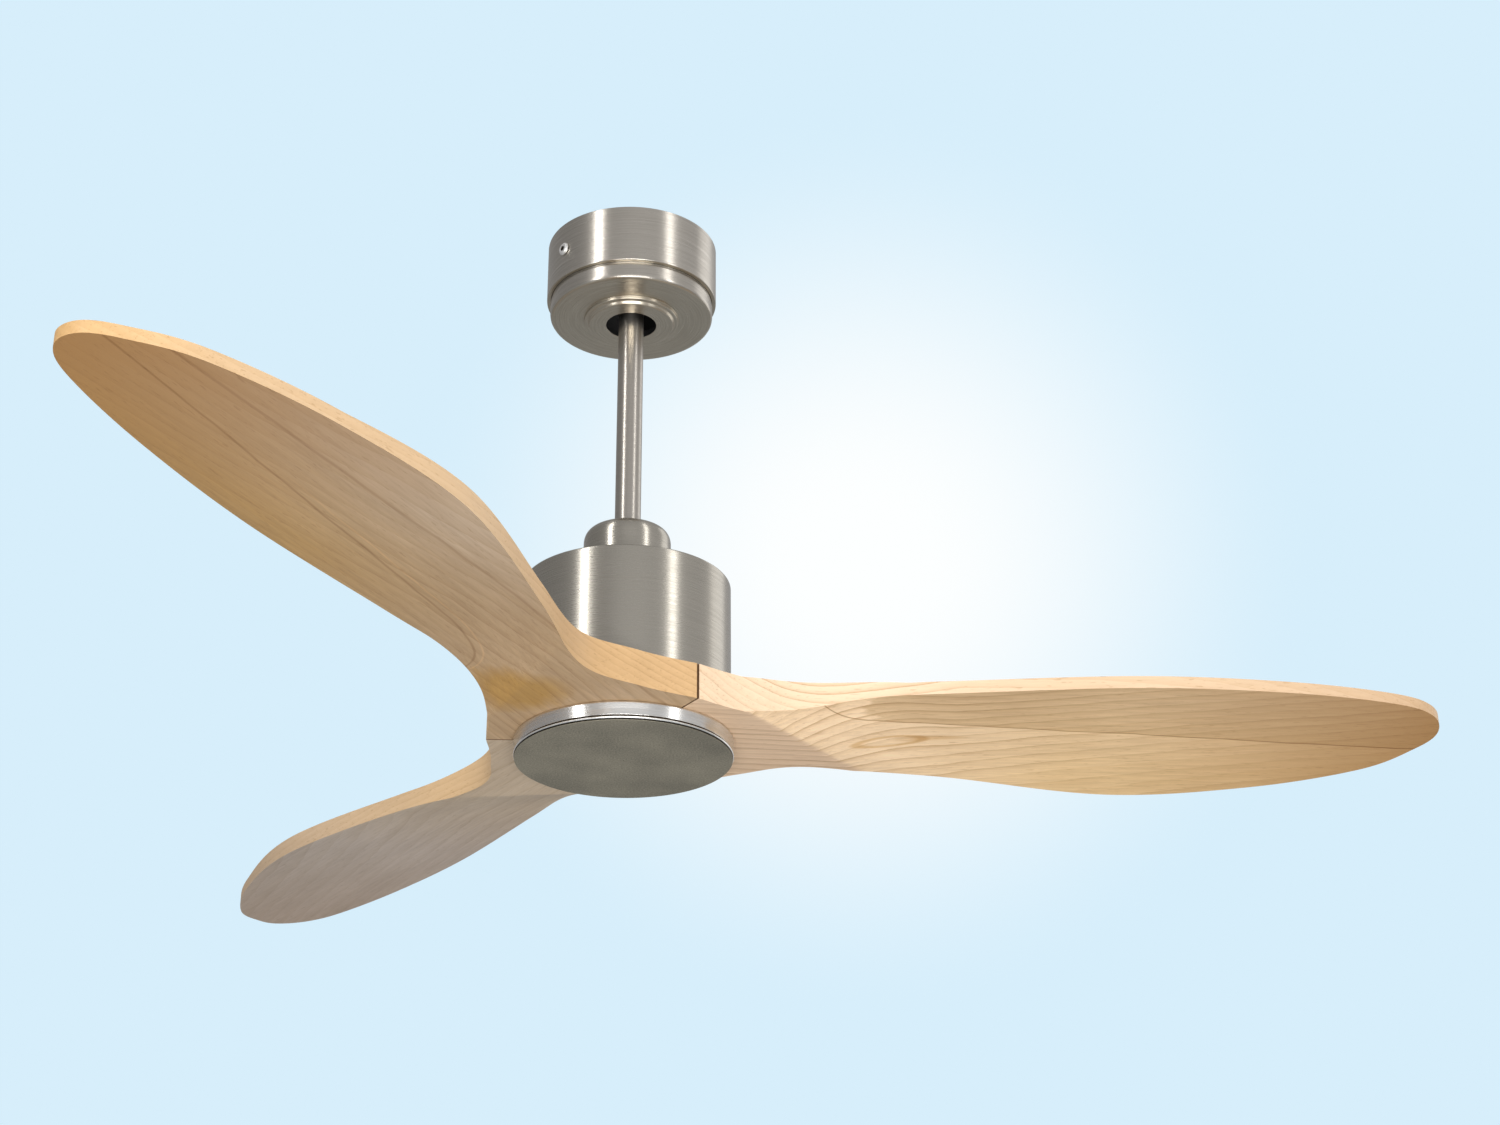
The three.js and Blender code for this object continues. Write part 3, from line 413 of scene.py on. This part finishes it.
def wood(name, front, back, root, seed, figure=0.8, tip=0.85, tip_wall=0.0,
         edge=(0.98, 1.0, 1.08, 1.0), marks=None):
    """Light lacquered wood as a solid, so that the carving cuts its growth rings open. Its
    ground colour drifts from the leading edge (front) to the trailing edge (back). figure is
    the strength of the growth lines, tip and tip_wall are the shares of the tip's darker tone
    on faces and walls, and edge is the walls' multiplier, painted light that lightens and
    tints the blades' sides apart from their faces."""
    nodes = Surface(name)
    plank = nodes.add("ShaderNodeAttribute", attribute_name="plank").outputs["Vector"]
    place = x, y, z = nodes.split(plank)
    fibre = nodes.noise(nodes.stretched(place, (22.0, 420.0, 420.0)), detail=4.0, roughness=0.65,
                        w=seed)
    flecks = nodes.noise(nodes.stretched(place, (110.0, 900.0, 900.0)), detail=1.0, w=seed)
    cloud = nodes.noise(nodes.stretched(place, (7.0, 30.0, 60.0)), detail=3.0, w=seed)
    quick = nodes.noise(nodes.vector(nodes.times(x, 60.0), nodes.times(y, 160.0), seed),
                        detail=3.0)
    upright = nodes.split(nodes.add("ShaderNodeNewGeometry").outputs["Normal"])[2]
    face = nodes.span(nodes.math("ABSOLUTE", upright), 0.45, 0.75)

    # Growth rings: each darkens towards its late wood, and some years more than others.
    years = nodes.over(ring_distance(nodes, place, seed), RING_SPACING)
    season = nodes.math("FRACT", years)
    yearly = nodes.noise(nodes.vector(nodes.math("FLOOR", years), seed, 0.5), scale=0.77)
    late = nodes.times(nodes.math("POWER", season, 6.0), nodes.span(yearly, 0.40, 0.60, 0.12, 1.0))

    # Ground colour, with less contrast on the walls.
    ground = nodes.blend(nodes.span(y, -0.045, 0.075), front, back)
    ground = nodes.blend(nodes.span(x, 0.19, 0.36), root, ground)
    shade = nodes.plus(nodes.times(nodes.span(fibre, 0.32, 0.68), 0.6),
                       nodes.times(nodes.span(cloud, 0.34, 0.66), 0.4))
    shade = nodes.plus(nodes.about_zero(shade, nodes.span(face, 0.0, 1.0, 0.35, 1.0)), 0.5)
    ground = nodes.blend(1.0, ground, nodes.blend(shade, WOOD_DARKER, WOOD_LIGHTER), "MULTIPLY")
    ground = nodes.tint(nodes.times(season, 0.5), ground, WOOD_SEASON)
    outer = nodes.span(nodes.plus(x, nodes.times(cloud, 0.10)), 0.45, 0.70, 0.0, tip)
    outer = nodes.times(outer, nodes.span(face, 0.0, 1.0, tip_wall, 1.0))
    ground = nodes.blend(outer, ground, WOOD_TIP)

    # Growth lines, fainter towards the tip and nearly gone on the walls beyond the hub.
    faded = nodes.times(late, nodes.span(x, 0.24, 0.42, figure, 0.45 * figure))
    wall = nodes.times(nodes.minus(1.0, face), nodes.span(x, 0.22, 0.34))
    faded = nodes.times(faded, nodes.minus(1.0, nodes.times(wall, 0.85)))
    tone = nodes.tint(faded, ground, WOOD_LINE)
    tone = nodes.tint(nodes.times(nodes.span(flecks, 0.62, 0.72), 0.35), tone, WOOD_LINE)
    if marks:
        tone = marks(nodes, place, quick, face, tone)

    # A dark line along both joint planes, partly the joints' own dark line and partly painted shade
    # in the narrow gap, so it is darkest on the walls that face each other across the gap.
    joint = nodes.minus(nodes.times(x, sin(JOINT_ANGLE)),
                        nodes.times(nodes.math("ABSOLUTE", y), cos(JOINT_ANGLE)))
    dark_joint_and_shade = nodes.times(nodes.span(joint, 0.0014, 0.0008), nodes.span(face, 0.0, 1.0, 1.0, 0.12))
    tone = nodes.tint(dark_joint_and_shade, tone, JOINT_LINE_AND_GAP_SHADE)
    # The walls take edge: painted light on the blades' sides.
    tone = nodes.blend(face, nodes.blend(1.0, tone, edge, "MULTIPLY"), tone)
    nodes.set(Base_Color=tone, Roughness=nodes.span(fibre, 0.3, 0.7, 0.46, 0.56),
              Specular_IOR_Level=0.3, Coat_Weight=0.06, Coat_Roughness=0.3)
    nodes.bump(nodes.minus(nodes.times(fibre, 0.5), nodes.times(late, 0.5)), 0.08, 0.0002)
    return nodes.material


WOODS = [
    wood("wood_1", colour(240, 208, 168), colour(246, 210, 158), colour(255, 223, 184), 1.7,
         tip_wall=0.45, marks=golden_plank),
    wood("wood_2", colour(196, 179, 165), colour(193, 178, 165), colour(204, 184, 160), 5.2,
         figure=0.3, tip=0.2, edge=(1.15, 1.01, 0.79, 1.0)),
    wood("wood_3", colour(192, 154, 101), colour(202, 176, 148), colour(195, 164, 128), 9.4,
         figure=0.36, edge=(1.33, 1.27, 1.10, 1.0), marks=ochre_plank),
]

# ---- CAD nodes keep their shape and take the procedural finish of their slot -------------

SLOT_MATERIALS = {
    "nickel": NICKEL, "polished_nickel": LIP_METAL, "satin_plate": PLATE, "wood": WOODS[0],
    **{slot: plain_metal(slot, *look) for slot, look in PLAIN_METALS.items()},
    **{slot: moulded(slot, *look) for slot, look in MOULDED.items()},
}
NODE_SLOT = {part["node"]: part["material_slot"] for part in frame["record"]["subparts"]}
NODE_BODY = {node: body for body, nodes in frame["record"]["behaviour"]["bodies"].items()
             for node in nodes}
BEVELLED = ("hanger_bracket", "controller_box", "terminal_block", "blade_plate",
            "rod_coupling", "rotor_bell", "rotor_cover", "shaft_nut")


def soften_edges(obj, name, width, segments, angle):
    """A bevel on the edges that are sharper than the angle, in degrees."""
    bevel = obj.modifiers.new(name, "BEVEL")
    bevel.width = width * MM
    bevel.segments = segments
    bevel.limit_method = "ANGLE"
    bevel.angle_limit = radians(angle)
    return bevel


def dress_cad_nodes():
    for name, obj in frame["nodes"].items():
        obj.data.materials.clear()
        obj.data.materials.append(SLOT_MATERIALS[NODE_SLOT[name]])
        if name in BEVELLED:
            soften_edges(obj, "soft_edges", 0.5, 2, 40)


dress_cad_nodes()

# ---- mesh helpers ------------------------------------------------------------------------


def clamp(value):
    return min(1.0, max(0.0, value))


def mix(low, high, share):
    return low + (high - low) * share


def mend(obj, weld=0.0):
    """Joins doubled points within the weld distance, if any, and turns all faces outwards."""
    work = bmesh.new()
    work.from_mesh(obj.data)
    if weld:
        bmesh.ops.remove_doubles(work, verts=work.verts, dist=weld)
    bmesh.ops.recalc_face_normals(work, faces=work.faces)
    work.to_mesh(obj.data)
    work.free()
    obj.data.update()


def new_object(name, vertices, faces, materials, smooth=True):
    mesh = bpy.data.meshes.new(name)
    mesh.from_pydata([tuple(v) for v in vertices], [], faces)
    mesh.validate()
    for material in materials:
        mesh.materials.append(material)
    obj = bpy.data.objects.new(name, mesh)
    bpy.context.scene.collection.objects.link(obj)
    if smooth:
        for polygon in mesh.polygons:
            polygon.use_smooth = True
    return obj


def settle(obj, node):
    """The piece stands for a CAD node and rides on that node's body."""
    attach(obj, NODE_BODY[node])
    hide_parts(node)


NEARLY_HALF = 0.49   # of a side of the outline is the most that one corner's rounding takes
HOLD = 0.6           # mm from the end of a long side to the point that keeps its shading flat


def rounded(corners, steps=4):
    """Outline points from (radius, height, fillet) corners in mm, each corner rounded."""
    points = []
    count = len(corners)
    for i, (r, z, fillet) in enumerate(corners):
        here = Vector((r, z))
        if fillet <= 0:
            points.append(here)
            continue
        before = Vector(corners[i - 1][:2]) - here
        after = Vector(corners[(i + 1) % count][:2]) - here
        half = before.angle(after) / 2
        reach = min(fillet / tan(half), NEARLY_HALF * before.length, NEARLY_HALF * after.length)
        start = here + before.normalized() * reach
        end = here + after.normalized() * reach
        for step in range(steps + 1):
            t = step / steps
            points.append((1 - t) ** 2 * start + 2 * t * (1 - t) * here + t ** 2 * end)
    return supported([(p.x, p.y) for p in points])


def supported(points):
    """Extra points beside the ends of long sides, so that smooth shading keeps them flat."""
    held = []
    for (r0, z0), (r1, z1) in zip(points, points[1:] + points[:1]):
        held.append((r0, z0))
        length = hypot(r1 - r0, z1 - z0)
        if length > 3 * HOLD:
            share = HOLD / length
            held.append((r0 + (r1 - r0) * share, z0 + (z1 - z0) * share))
            held.append((r1 - (r1 - r0) * share, z1 - (z1 - z0) * share))
    return held


def turned(name, node, corners, materials, segments=160, choose=None, steps=4):
    """A turned piece about the fan's axis. choose(r, z, rising) gives the material's number for
    a face by its middle, and by whether it is nearer a wall than a level face."""
    outline = rounded(corners, steps)
    count = len(outline)
    vertices = []
    for s in range(segments):
        angle = 2 * pi * s / segments
        for r, z in outline:
            vertices.append((r * cos(angle) * MM, r * sin(angle) * MM, z * MM))
    faces = []
    picks = []
    for s in range(segments):
        here, there = s * count, ((s + 1) % segments) * count
        for i in range(count):
            j = (i + 1) % count
            faces.append((here + i, there + i, there + j, here + j))
            if choose:
                (r0, z0), (r1, z1) = outline[i], outline[j]
                picks.append(choose((r0 + r1) / 2, (z0 + z1) / 2, abs(z1 - z0) > abs(r1 - r0)))
    obj = new_object(name, vertices, faces, materials)
    if choose:
        for polygon, pick in zip(obj.data.polygons, picks):
            polygon.material_index = pick
    mend(obj)
    settle(obj, node)


def span_mm(node):
    """A CAD node's outer radius, lowest and highest height, in mm."""
    low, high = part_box(node)
    return (high[0] - low[0]) / 2 / MM, low[2] / MM, high[2] / MM


# ---- canopy ------------------------------------------------------------------------------

CANOPY_R, CANOPY_LOW, CANOPY_TOP = span_mm("canopy")
CANOPY_SIDE = 52          # height of the wide upper part
CANOPY_DEPTH = 67.5       # from the rim to the lower face
CANOPY_STEP = 3.2         # how far the lower part lies inside the upper one
BOSS_R, BALL_HOLE = 39.5, 21.3
OUTER_WALLS = 60          # the boss inside this radius is finished like the level faces
SHEET = 1.5               # thickness of the canopy's and the housing's sheet metal


def make_canopy():
    side_low = CANOPY_TOP - CANOPY_SIDE
    face = CANOPY_TOP - CANOPY_DEPTH
    step = CANOPY_R - CANOPY_STEP
    boss, hole = BOSS_R, BALL_HOLE
    corners = [
        (CANOPY_R - 0.05, CANOPY_TOP, 0.4), (CANOPY_R - 0.05, side_low, 1.0),
        (step - 0.9, side_low, 0.3), (step - 0.9, side_low - 1.6, 0.3),
        (step, side_low - 2.3, 0.8), (step, face, 3.2),
        (boss + 0.8, face, 0.5), (boss + 0.4, face - 2.6, 1.2), (boss - 2.6, face - 2.8, 0.9),
        (boss - 3.9, CANOPY_LOW, 1.6), (hole, CANOPY_LOW, 0.5), (hole, CANOPY_LOW + SHEET, 0.3),
        (boss - 6, CANOPY_LOW + SHEET, 1), (boss - 4, face + SHEET, 1),
        (step - 4, face + SHEET, 1), (step - 2.2, face + 3.5, 1),
        (step - 2.2, side_low + SHEET, 0.5), (CANOPY_R - SHEET, side_low + SHEET, 1),
        (CANOPY_R - SHEET, CANOPY_TOP, 0.3),
    ]

    # Faces inside the shell take the near-black finish, which is painted shade.
    wall, level, inner = range(3)

    def finish(r, z, rising):
        lowest = side_low if r > step else face
        inside = z > (CANOPY_LOW if r < boss - 4 else lowest) + 0.8 and r < CANOPY_R - 0.7
        if inside and not (r > step - 1.2 and z < side_low):
            return inner
        return wall if rising and r > OUTER_WALLS else level
    turned("canopy_skin", "canopy", corners, [NICKEL, NICKEL_FACE, PAINTED_INNER_SHADE], choose=finish)


make_canopy()

SCREW_AZIMUTH = 41.0      # degrees
HEAD_R = 5.5
SCREW_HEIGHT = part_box("canopy_screw_1")[1][2] / MM - HEAD_R
SCREW_SEAT = CANOPY_R + 0.3
SOCKET_R, SOCKET_FLOOR = 2.5, 0.2   # the hexagon socket lies inside and above these
HEXAGON_STEP = pi / 3


def make_canopy_screw(number):
    """Domed head with a hexagon socket, pointing out of the canopy's side."""
    outline = rounded([
        (0, -10, 0), (2.1, -10, 0.3), (2.1, 0, 0), (5.45, 0, 0.3), (5.45, 1.3, 0.8),
        (4.3, 2.35, 0.8), (2.3, 2.35, 0.3), (2.15, 0.9, 0.1), (0, 0.9, 0),
    ])
    segments = 60
    turn = Matrix.Rotation(radians(SCREW_AZIMUTH + 180 * (number - 1)), 3, "Z")

    def in_socket(radius, height):
        return radius < SOCKET_R and height > SOCKET_FLOOR

    vertices, faces = [], []
    for step in range(segments):
        angle = 2 * pi * step / segments
        flat = cos(HEXAGON_STEP / 2) / cos(angle % HEXAGON_STEP - HEXAGON_STEP / 2)
        for r, z in outline:
            radius = r * (flat if in_socket(r, z) else 1)
            local = (SCREW_SEAT + z, radius * cos(angle), SCREW_HEIGHT + radius * sin(angle))
            vertices.append(turn @ Vector(local) * MM)
    count = len(outline)
    for step in range(segments):
        here, there = step * count, ((step + 1) % segments) * count
        for i in range(count - 1):
            faces.append((here + i, there + i, there + i + 1, here + i + 1))
    obj = new_object(f"canopy_screw_head_{number}", vertices, faces, [SCREW_NICKEL, GROOVE_SHADE])
    # The socket's faces take the dark tone, which paints the shade in the recess.
    for index, face in enumerate(obj.data.polygons):
        face.material_index = int(in_socket(*outline[index % (count - 1)]))
    mend(obj, weld=1e-6)
    settle(obj, f"canopy_screw_{number}")


for screw_number in (1, 2):
    make_canopy_screw(screw_number)

# ---- down rod, coupling cover, motor housing ---------------------------------------------

ROD_R, ROD_LOW, ROD_TOP = span_mm("downrod")
CUP_R, CUP_LOW, CUP_TOP = span_mm("coupling_cover")
HOUSING_R, HOUSING_LOW, HOUSING_TOP = span_mm("motor_housing")
ROD_WALL, CUP_WALL = 2.15, 1.4
HOUSING_HOLE = 12


def make_rod():
    bore = ROD_R - ROD_WALL
    corners = [(ROD_R, ROD_LOW, 0.4), (ROD_R, ROD_TOP, 0.4), (bore, ROD_TOP, 0.3),
               (bore, ROD_LOW, 0.3)]
    turned("rod_tube", "downrod", corners, [ROD_NICKEL], segments=96)


def make_cup():
    inner, ceiling = CUP_R - CUP_WALL, CUP_TOP - CUP_WALL
    hole = ROD_R + 0.6
    corners = [
        (CUP_R, CUP_LOW, 0.3), (CUP_R, CUP_TOP, 13.5), (hole, CUP_TOP, 0.4),
        (hole, ceiling, 0.3), (inner, ceiling, 12), (inner, CUP_LOW, 0.3),
    ]
    turned("coupling_cup", "coupling_cover", corners, [MOTOR_NICKEL], steps=12)


def make_housing():
    inner, ceiling = HOUSING_R - SHEET, HOUSING_TOP - SHEET
    corners = [
        (HOUSING_R, HOUSING_LOW, 0.5), (HOUSING_R, HOUSING_TOP, 1.2),
        (HOUSING_HOLE, HOUSING_TOP, 0.3), (HOUSING_HOLE, ceiling, 0.3),
        (inner, ceiling, 0.8), (inner, HOUSING_LOW, 0.3),
    ]
    turned("housing_skin", "motor_housing", corners, [MOTOR_NICKEL])


make_rod()
make_cup()
make_housing()

# ---- bottom cover ------------------------------------------------------------------------

BAND_R, BAND_LOW, BAND_TOP = span_mm("cover_ring")
LIP_R, LIP_LOW, LIP_TOP = span_mm("cover_lip")
PLATE_R, PLATE_LOW, PLATE_TOP = span_mm("cover_plate")
BAND_WALL = 4.2
WEB_TOP = BAND_TOP - 6.9    # the band's inner web, which the cover's screws hold
WEB, WEB_HOLE = 1.5, 38     # its thickness and its hole's radius
LIP_INNER = 80
PLATE_GAP = 0.5             # round the plate, inside the lip
PLATE_CORE = 0.4            # the plate's outline stops this far from the axis


def make_cover():
    """Band, lip and plate, with the narrow grooves between them and the lip's underside in a dark
    tone: painted shade in the grooves, and a painted dark reflection under the lip's bead.
    """
    wall = BAND_R - BAND_WALL
    turned("cover_band", "cover_ring", [
        (BAND_R - 2.9, BAND_LOW, 0.2), (BAND_R - 2.8, BAND_LOW + 0.9, 0.1),
        (BAND_R - 2.0, BAND_LOW + 1.3, 0.3), (BAND_R - 1.1, mix(BAND_LOW, BAND_TOP, 0.5), 2),
        (BAND_R, BAND_TOP - 1.1, 1.5), (BAND_R - 0.3, BAND_TOP, 0.4), (wall, BAND_TOP, 0.3),
        (wall, WEB_TOP, 0.5), (WEB_HOLE, WEB_TOP, 0.3), (WEB_HOLE, WEB_TOP - WEB, 0.3),
        (wall, WEB_TOP - WEB, 0.5), (wall, BAND_LOW, 0.3),
    ], [BAND_NICKEL, GROOVE_SHADE], choose=lambda r, z, rising: int(z < BAND_LOW + 1.1))
    middle = (LIP_LOW + LIP_TOP) / 2
    turned("cover_bright_lip", "cover_lip", [
        (LIP_INNER, LIP_TOP, 0.1), (LIP_R - 2.2, LIP_TOP, 0.1), (LIP_R - 0.5, LIP_TOP - 0.3, 0.4),
        (LIP_R, middle + 0.2, 0.8), (LIP_R - 0.8, LIP_LOW, 0.3), (LIP_R - 1.5, LIP_LOW, 0.2),
        (LIP_INNER, LIP_LOW, 0.1),
    ], [LIP_METAL, GROOVE_SHADE], choose=lambda r, z, rising: int(z < LIP_LOW + 0.1 or r < LIP_R - 1.8))
    turned("cover_disc", "cover_plate", [
        (PLATE_CORE, PLATE_TOP, 0), (PLATE_R - PLATE_GAP, PLATE_TOP, 0.2),
        (PLATE_R - PLATE_GAP, PLATE_LOW, 0.9), (PLATE_CORE, PLATE_LOW, 0),
    ], [PLATE, GROOVE_SHADE], choose=lambda r, z, rising: int(z > PLATE_LOW + 0.4))


make_cover()

# ---- blades ------------------------------------------------------------------------------

# Sizes are in mm. A blade's own frame has x along it from the fan's axis, y across it towards
# the trailing edge, and z up from the lowest level of the hub.
BLADE_COUNT = 3
BLADE_AZIMUTH = 4.0          # degrees
SWEEP = 657.0                # radius of the blades' tips
HUB_BORE = 33.0
JOINT_R = 108.0              # outer end of the joints
JOINT_INSET = 0.6            # half the gap between two blades, for their rounded edges
HUB_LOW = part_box("blade_1")[0][2] / MM
HUB_THICKNESS = 28.5
ACROSS = 48                  # faces from edge to edge
HUB_ROWS, BLADE_ROWS = 10, 208
ROW_CROWDING = 1.35          # how much the rows crowd towards the tip
BULGE_ROWS = 6               # rows over which the bore's round end fades out
LEADING = [(95, -67), (150, -49.5), (250, -56.5), (400, -66), (520, -59), (608, -43), (645, -25)]
TIP = (SWEEP, 2)
TRAILING = [(645, 28), (608, 62), (520, 93), (400, 106), (250, 72), (150, 47.5), (95, 67)]
TWIST_START = 140.0          # from here on the root's sizes change into the tip's
CARVE_START, CARVE_SLANT, CARVE_RUN = 145.0, 0.78, 85.0   # the slanting crease underneath
BLEND_FROM, BLEND_TO = 108.0, 230.0                       # where the top leaves the hub's level
TWIST_ROOT, TWIST_TIP = 8.0, 9.0
LIFT_ROOT, LIFT_TIP = 13.5, 22.5
THICKNESS_ROOT, THICKNESS_TIP = 10.5, 8.5
FRONT_SWELL = (155, 65, 4)   # where, how far and how high the upper face rises in front
BACK_SWELL = (320, 200, 5)   # and towards the trailing edge
FRONT_EDGE, BACK_EDGE = 50, 100   # how far across a swell reaches its full height


def swell(shape, x):
    middle, reach, height = shape
    return height * max(0.0, 1 - ((x - middle) / reach) ** 2)


def along_blade(x):
    return clamp((x - TWIST_START) / (SWEEP - TWIST_START))


def lower_face(x, y):
    """The airfoil's lower face, which twists and rises towards the tip."""
    along = along_blade(x)
    twist = radians(mix(TWIST_ROOT, TWIST_TIP, along ** 2))
    return mix(LIFT_ROOT, LIFT_TIP, along) - y * tan(twist)


def blade_thickness(x, y):
    thickness = mix(THICKNESS_ROOT, THICKNESS_TIP, along_blade(x) ** 2)
    return thickness + swell(BACK_SWELL, x) * max(y, 0) / BACK_EDGE


def blade_bottom(x, y):
    """Level under the hub, then carved up to the airfoil beyond the slanting crease."""
    share = clamp((x - CARVE_START - CARVE_SLANT * y) / hypot(1, CARVE_SLANT) / CARVE_RUN)
    return lower_face(x, y) * (1 - (1 - share) ** 2)


def blade_top(x, y):
    """Level over the hub, then smoothly down to the airfoil's upper face."""
    share = clamp((x - BLEND_FROM) / (BLEND_TO - BLEND_FROM))
    share = share * share * (3 - 2 * share)
    front = swell(FRONT_SWELL, x) * max(-y, 0) / FRONT_EDGE
    return mix(HUB_THICKNESS, lower_face(x, y) + blade_thickness(x, y), share) + front


def on_joint(radius, side):
    """A point of a joint face: side is -1 in front and 1 behind."""
    half = pi / BLADE_COUNT
    return (radius * cos(half) + JOINT_INSET * sin(half),
            side * (radius * sin(half) - JOINT_INSET * cos(half)))


def spline_point(points, t):
    """The same spline as the CAD outline: uniform Catmull-Rom with doubled end points."""
    i = min(int(t), len(points) - 2)
    w = t - i
    p = [points[max(i - 1, 0)], points[i], points[i + 1], points[min(i + 2, len(points) - 1)]]

    def blend(a, b, c, d):
        v0, v1 = (c - a) / 2, (d - b) / 2
        return ((2 * b - 2 * c + v0 + v1) * w ** 3 + (-3 * b + 3 * c - 2 * v0 - v1) * w * w
                + v0 * w + b)
    return blend(*(q[0] for q in p)), blend(*(q[1] for q in p))


def blade_rows():
    """Pairs of edge points, leading and trailing, from the hub bore to the tip."""
    edge = [on_joint(JOINT_R, -1), *LEADING, TIP, *TRAILING, on_joint(JOINT_R, 1)]
    last, tip = len(edge) - 1, edge.index(TIP)
    rows = []
    for i in range(HUB_ROWS):
        radius = mix(HUB_BORE, JOINT_R, i / HUB_ROWS)
        rows.append((on_joint(radius, -1), on_joint(radius, 1)))
    for i in range(BLADE_ROWS):
        t = tip * (1 - (1 - i / BLADE_ROWS) ** ROW_CROWDING)
        rows.append((spline_point(edge, t), spline_point(edge, last - t)))
    return rows


def make_blade(index, rows):
    """Lower and upper face with a rim round them. The plank attribute keeps each point's place
    in its own blade, so that the three woods run along their blades."""
    turn = Matrix.Rotation(radians(BLADE_AZIMUTH + 360 * index / BLADE_COUNT), 3, "Z")
    vertices, plank = [], []
    for layer in (blade_bottom, blade_top):
        for k, (lead, trail) in enumerate(rows):
            bulge = HUB_BORE / 2 * clamp(1 - k / BULGE_ROWS)
            for j in range(ACROSS + 1):
                share = j / ACROSS
                share = mix(share, 0.5 - 0.5 * cos(pi * share), 0.5)
                x = mix(lead[0], trail[0], share) + bulge * (1 - (2 * share - 1) ** 2)
                y = mix(lead[1], trail[1], share)
                z = layer(x, y)
                plank.append(Vector((x, y, z)) * MM)
                vertices.append(turn @ Vector((x, y, z + HUB_LOW)) * MM)
    width, length = ACROSS + 1, len(rows)
    layer_size = width * length
    faces = []
    for k in range(length - 1):
        for j in range(ACROSS):
            a = k * width + j
            faces.append((a, a + 1, a + width + 1, a + width))
            b = a + layer_size
            faces.append((b, b + width, b + width + 1, b + 1))
    rim = ([k * width for k in range(length)]
           + [(length - 1) * width + j for j in range(1, width)]
           + [k * width + ACROSS for k in range(length - 2, -1, -1)]
           + [j for j in range(ACROSS - 1, 0, -1)])
    for a, b in zip(rim, rim[1:] + rim[:1]):
        faces.append((a, b, b + layer_size, a + layer_size))
    obj = new_object(f"blade_wood_{index + 1}", vertices, faces, [WOODS[index]])
    place = obj.data.attributes.new("plank", "FLOAT_VECTOR", "POINT")
    for item, value in zip(place.data, plank):
        item.vector = value
    mend(obj)
    soften_edges(obj, "rounded_edges", 1.6, 3, 50).harden_normals = True
    settle(obj, f"blade_{index + 1}")


edge_rows = blade_rows()
for blade_index in range(BLADE_COUNT):
    make_blade(blade_index, edge_rows)

# ---- stage and light ---------------------------------------------------------------------

FLOOR_Z, FLOOR_REACH = -2.7, 9
BACKDROP = colour(215, 238, 251)
BACKDROP_GLOW = colour(253, 255, 255)
GLOW_WAY = Vector((0.045, cos(CAMERA_PITCH), sin(CAMERA_PITCH))).normalized()
GLOW_CORE, GLOW_WIDTH = 0.02, radians(10.6)
STUDIO_TONE = colour(250, 250, 252)                    # the light that falls on the fan
STUDIO_BRIGHT, STUDIO_DIM = 0.46 * 1.35, 0.46 * 0.7    # strengths of its two sides
SHADE_SIDE = Vector((-0.94, 0.34, 0.1)).normalized()   # the studio's darker side
LIGHT_TARGET = Vector((0, 0, -0.35))                   # inside the motor


def make_floor():
    corners = [(FLOOR_REACH * x, FLOOR_REACH * y, FLOOR_Z)
               for x, y in ((-1, -1), (1, -1), (1, 1), (-1, 1))]
    nodes = Surface("floor")
    haze = nodes.mottle(2.0)
    nodes.set(Base_Color=nodes.blend(haze, colour(206, 210, 212), colour(212, 215, 216)),
              Roughness=0.9)
    floor = new_object("floor", corners, [(0, 1, 2, 3)], [nodes.material], smooth=False)


def make_world():
    """A pale blue backdrop with a soft glow behind the fan, and a greyer studio for lighting."""
    world = bpy.data.worlds.new("studio")
    bpy.context.scene.world = world
    nodes = Nodes(world)
    nodes.tree.nodes.clear()

    def background(tone, strength):
        return nodes.fill(nodes.add("ShaderNodeBackground"), tone, strength).outputs[0]

    way = nodes.add("ShaderNodeTexCoord").outputs["Generated"]
    off = nodes.math("ARCCOSINE", nodes.dot(way, GLOW_WAY))
    glow = nodes.span(off, GLOW_CORE, GLOW_WIDTH, 1.0, 0.0, interpolation_type="SMOOTHSTEP")
    seen = background(nodes.blend(glow, BACKDROP, BACKDROP_GLOW), 1.0)
    strength = nodes.span(nodes.dot(way, SHADE_SIDE), -0.9, 0.95, STUDIO_BRIGHT, STUDIO_DIM)
    felt = background(STUDIO_TONE, strength)
    seen_by_camera = nodes.add("ShaderNodeLightPath").outputs["Is Camera Ray"]
    mixer = nodes.fill(nodes.add("ShaderNodeMixShader"), seen_by_camera, felt, seen)
    nodes.fill(nodes.add("ShaderNodeOutputWorld"), mixer.outputs[0])


def soft_light(name, azimuth, distance, height, width, tall, power):
    """An area light round the fan, aimed at it: azimuth in degrees from the camera's side,
    sizes in metres, power in watts."""
    data = bpy.data.lights.new(name, "AREA")
    data.shape = "RECTANGLE"
    data.size = width
    data.size_y = tall
    data.energy = power
    light = bpy.data.objects.new(name, data)
    angle = radians(azimuth - 90)
    offset = Vector((distance * cos(angle), distance * sin(angle), height))
    light.location = LIGHT_TARGET + offset
    aim = LIGHT_TARGET - light.location
    light.rotation_euler = aim.to_track_quat("-Z", "Y").to_euler()
    bpy.context.scene.collection.objects.link(light)


make_floor()
make_world()
soft_light("strip_left", -43, 2.6, 0.6, 0.26, 4.0, 28)
soft_light("strip_right", 54, 2.6, 0.6, 0.34, 4.0, 14)
soft_light("side_right", 121, 2.6, 0.6, 1.3, 3.2, 10)
soft_light("front_low", 4, 3.0, -1.6, 2.6, 0.8, 80)

bpy.context.scene.view_settings.view_transform = "Standard"
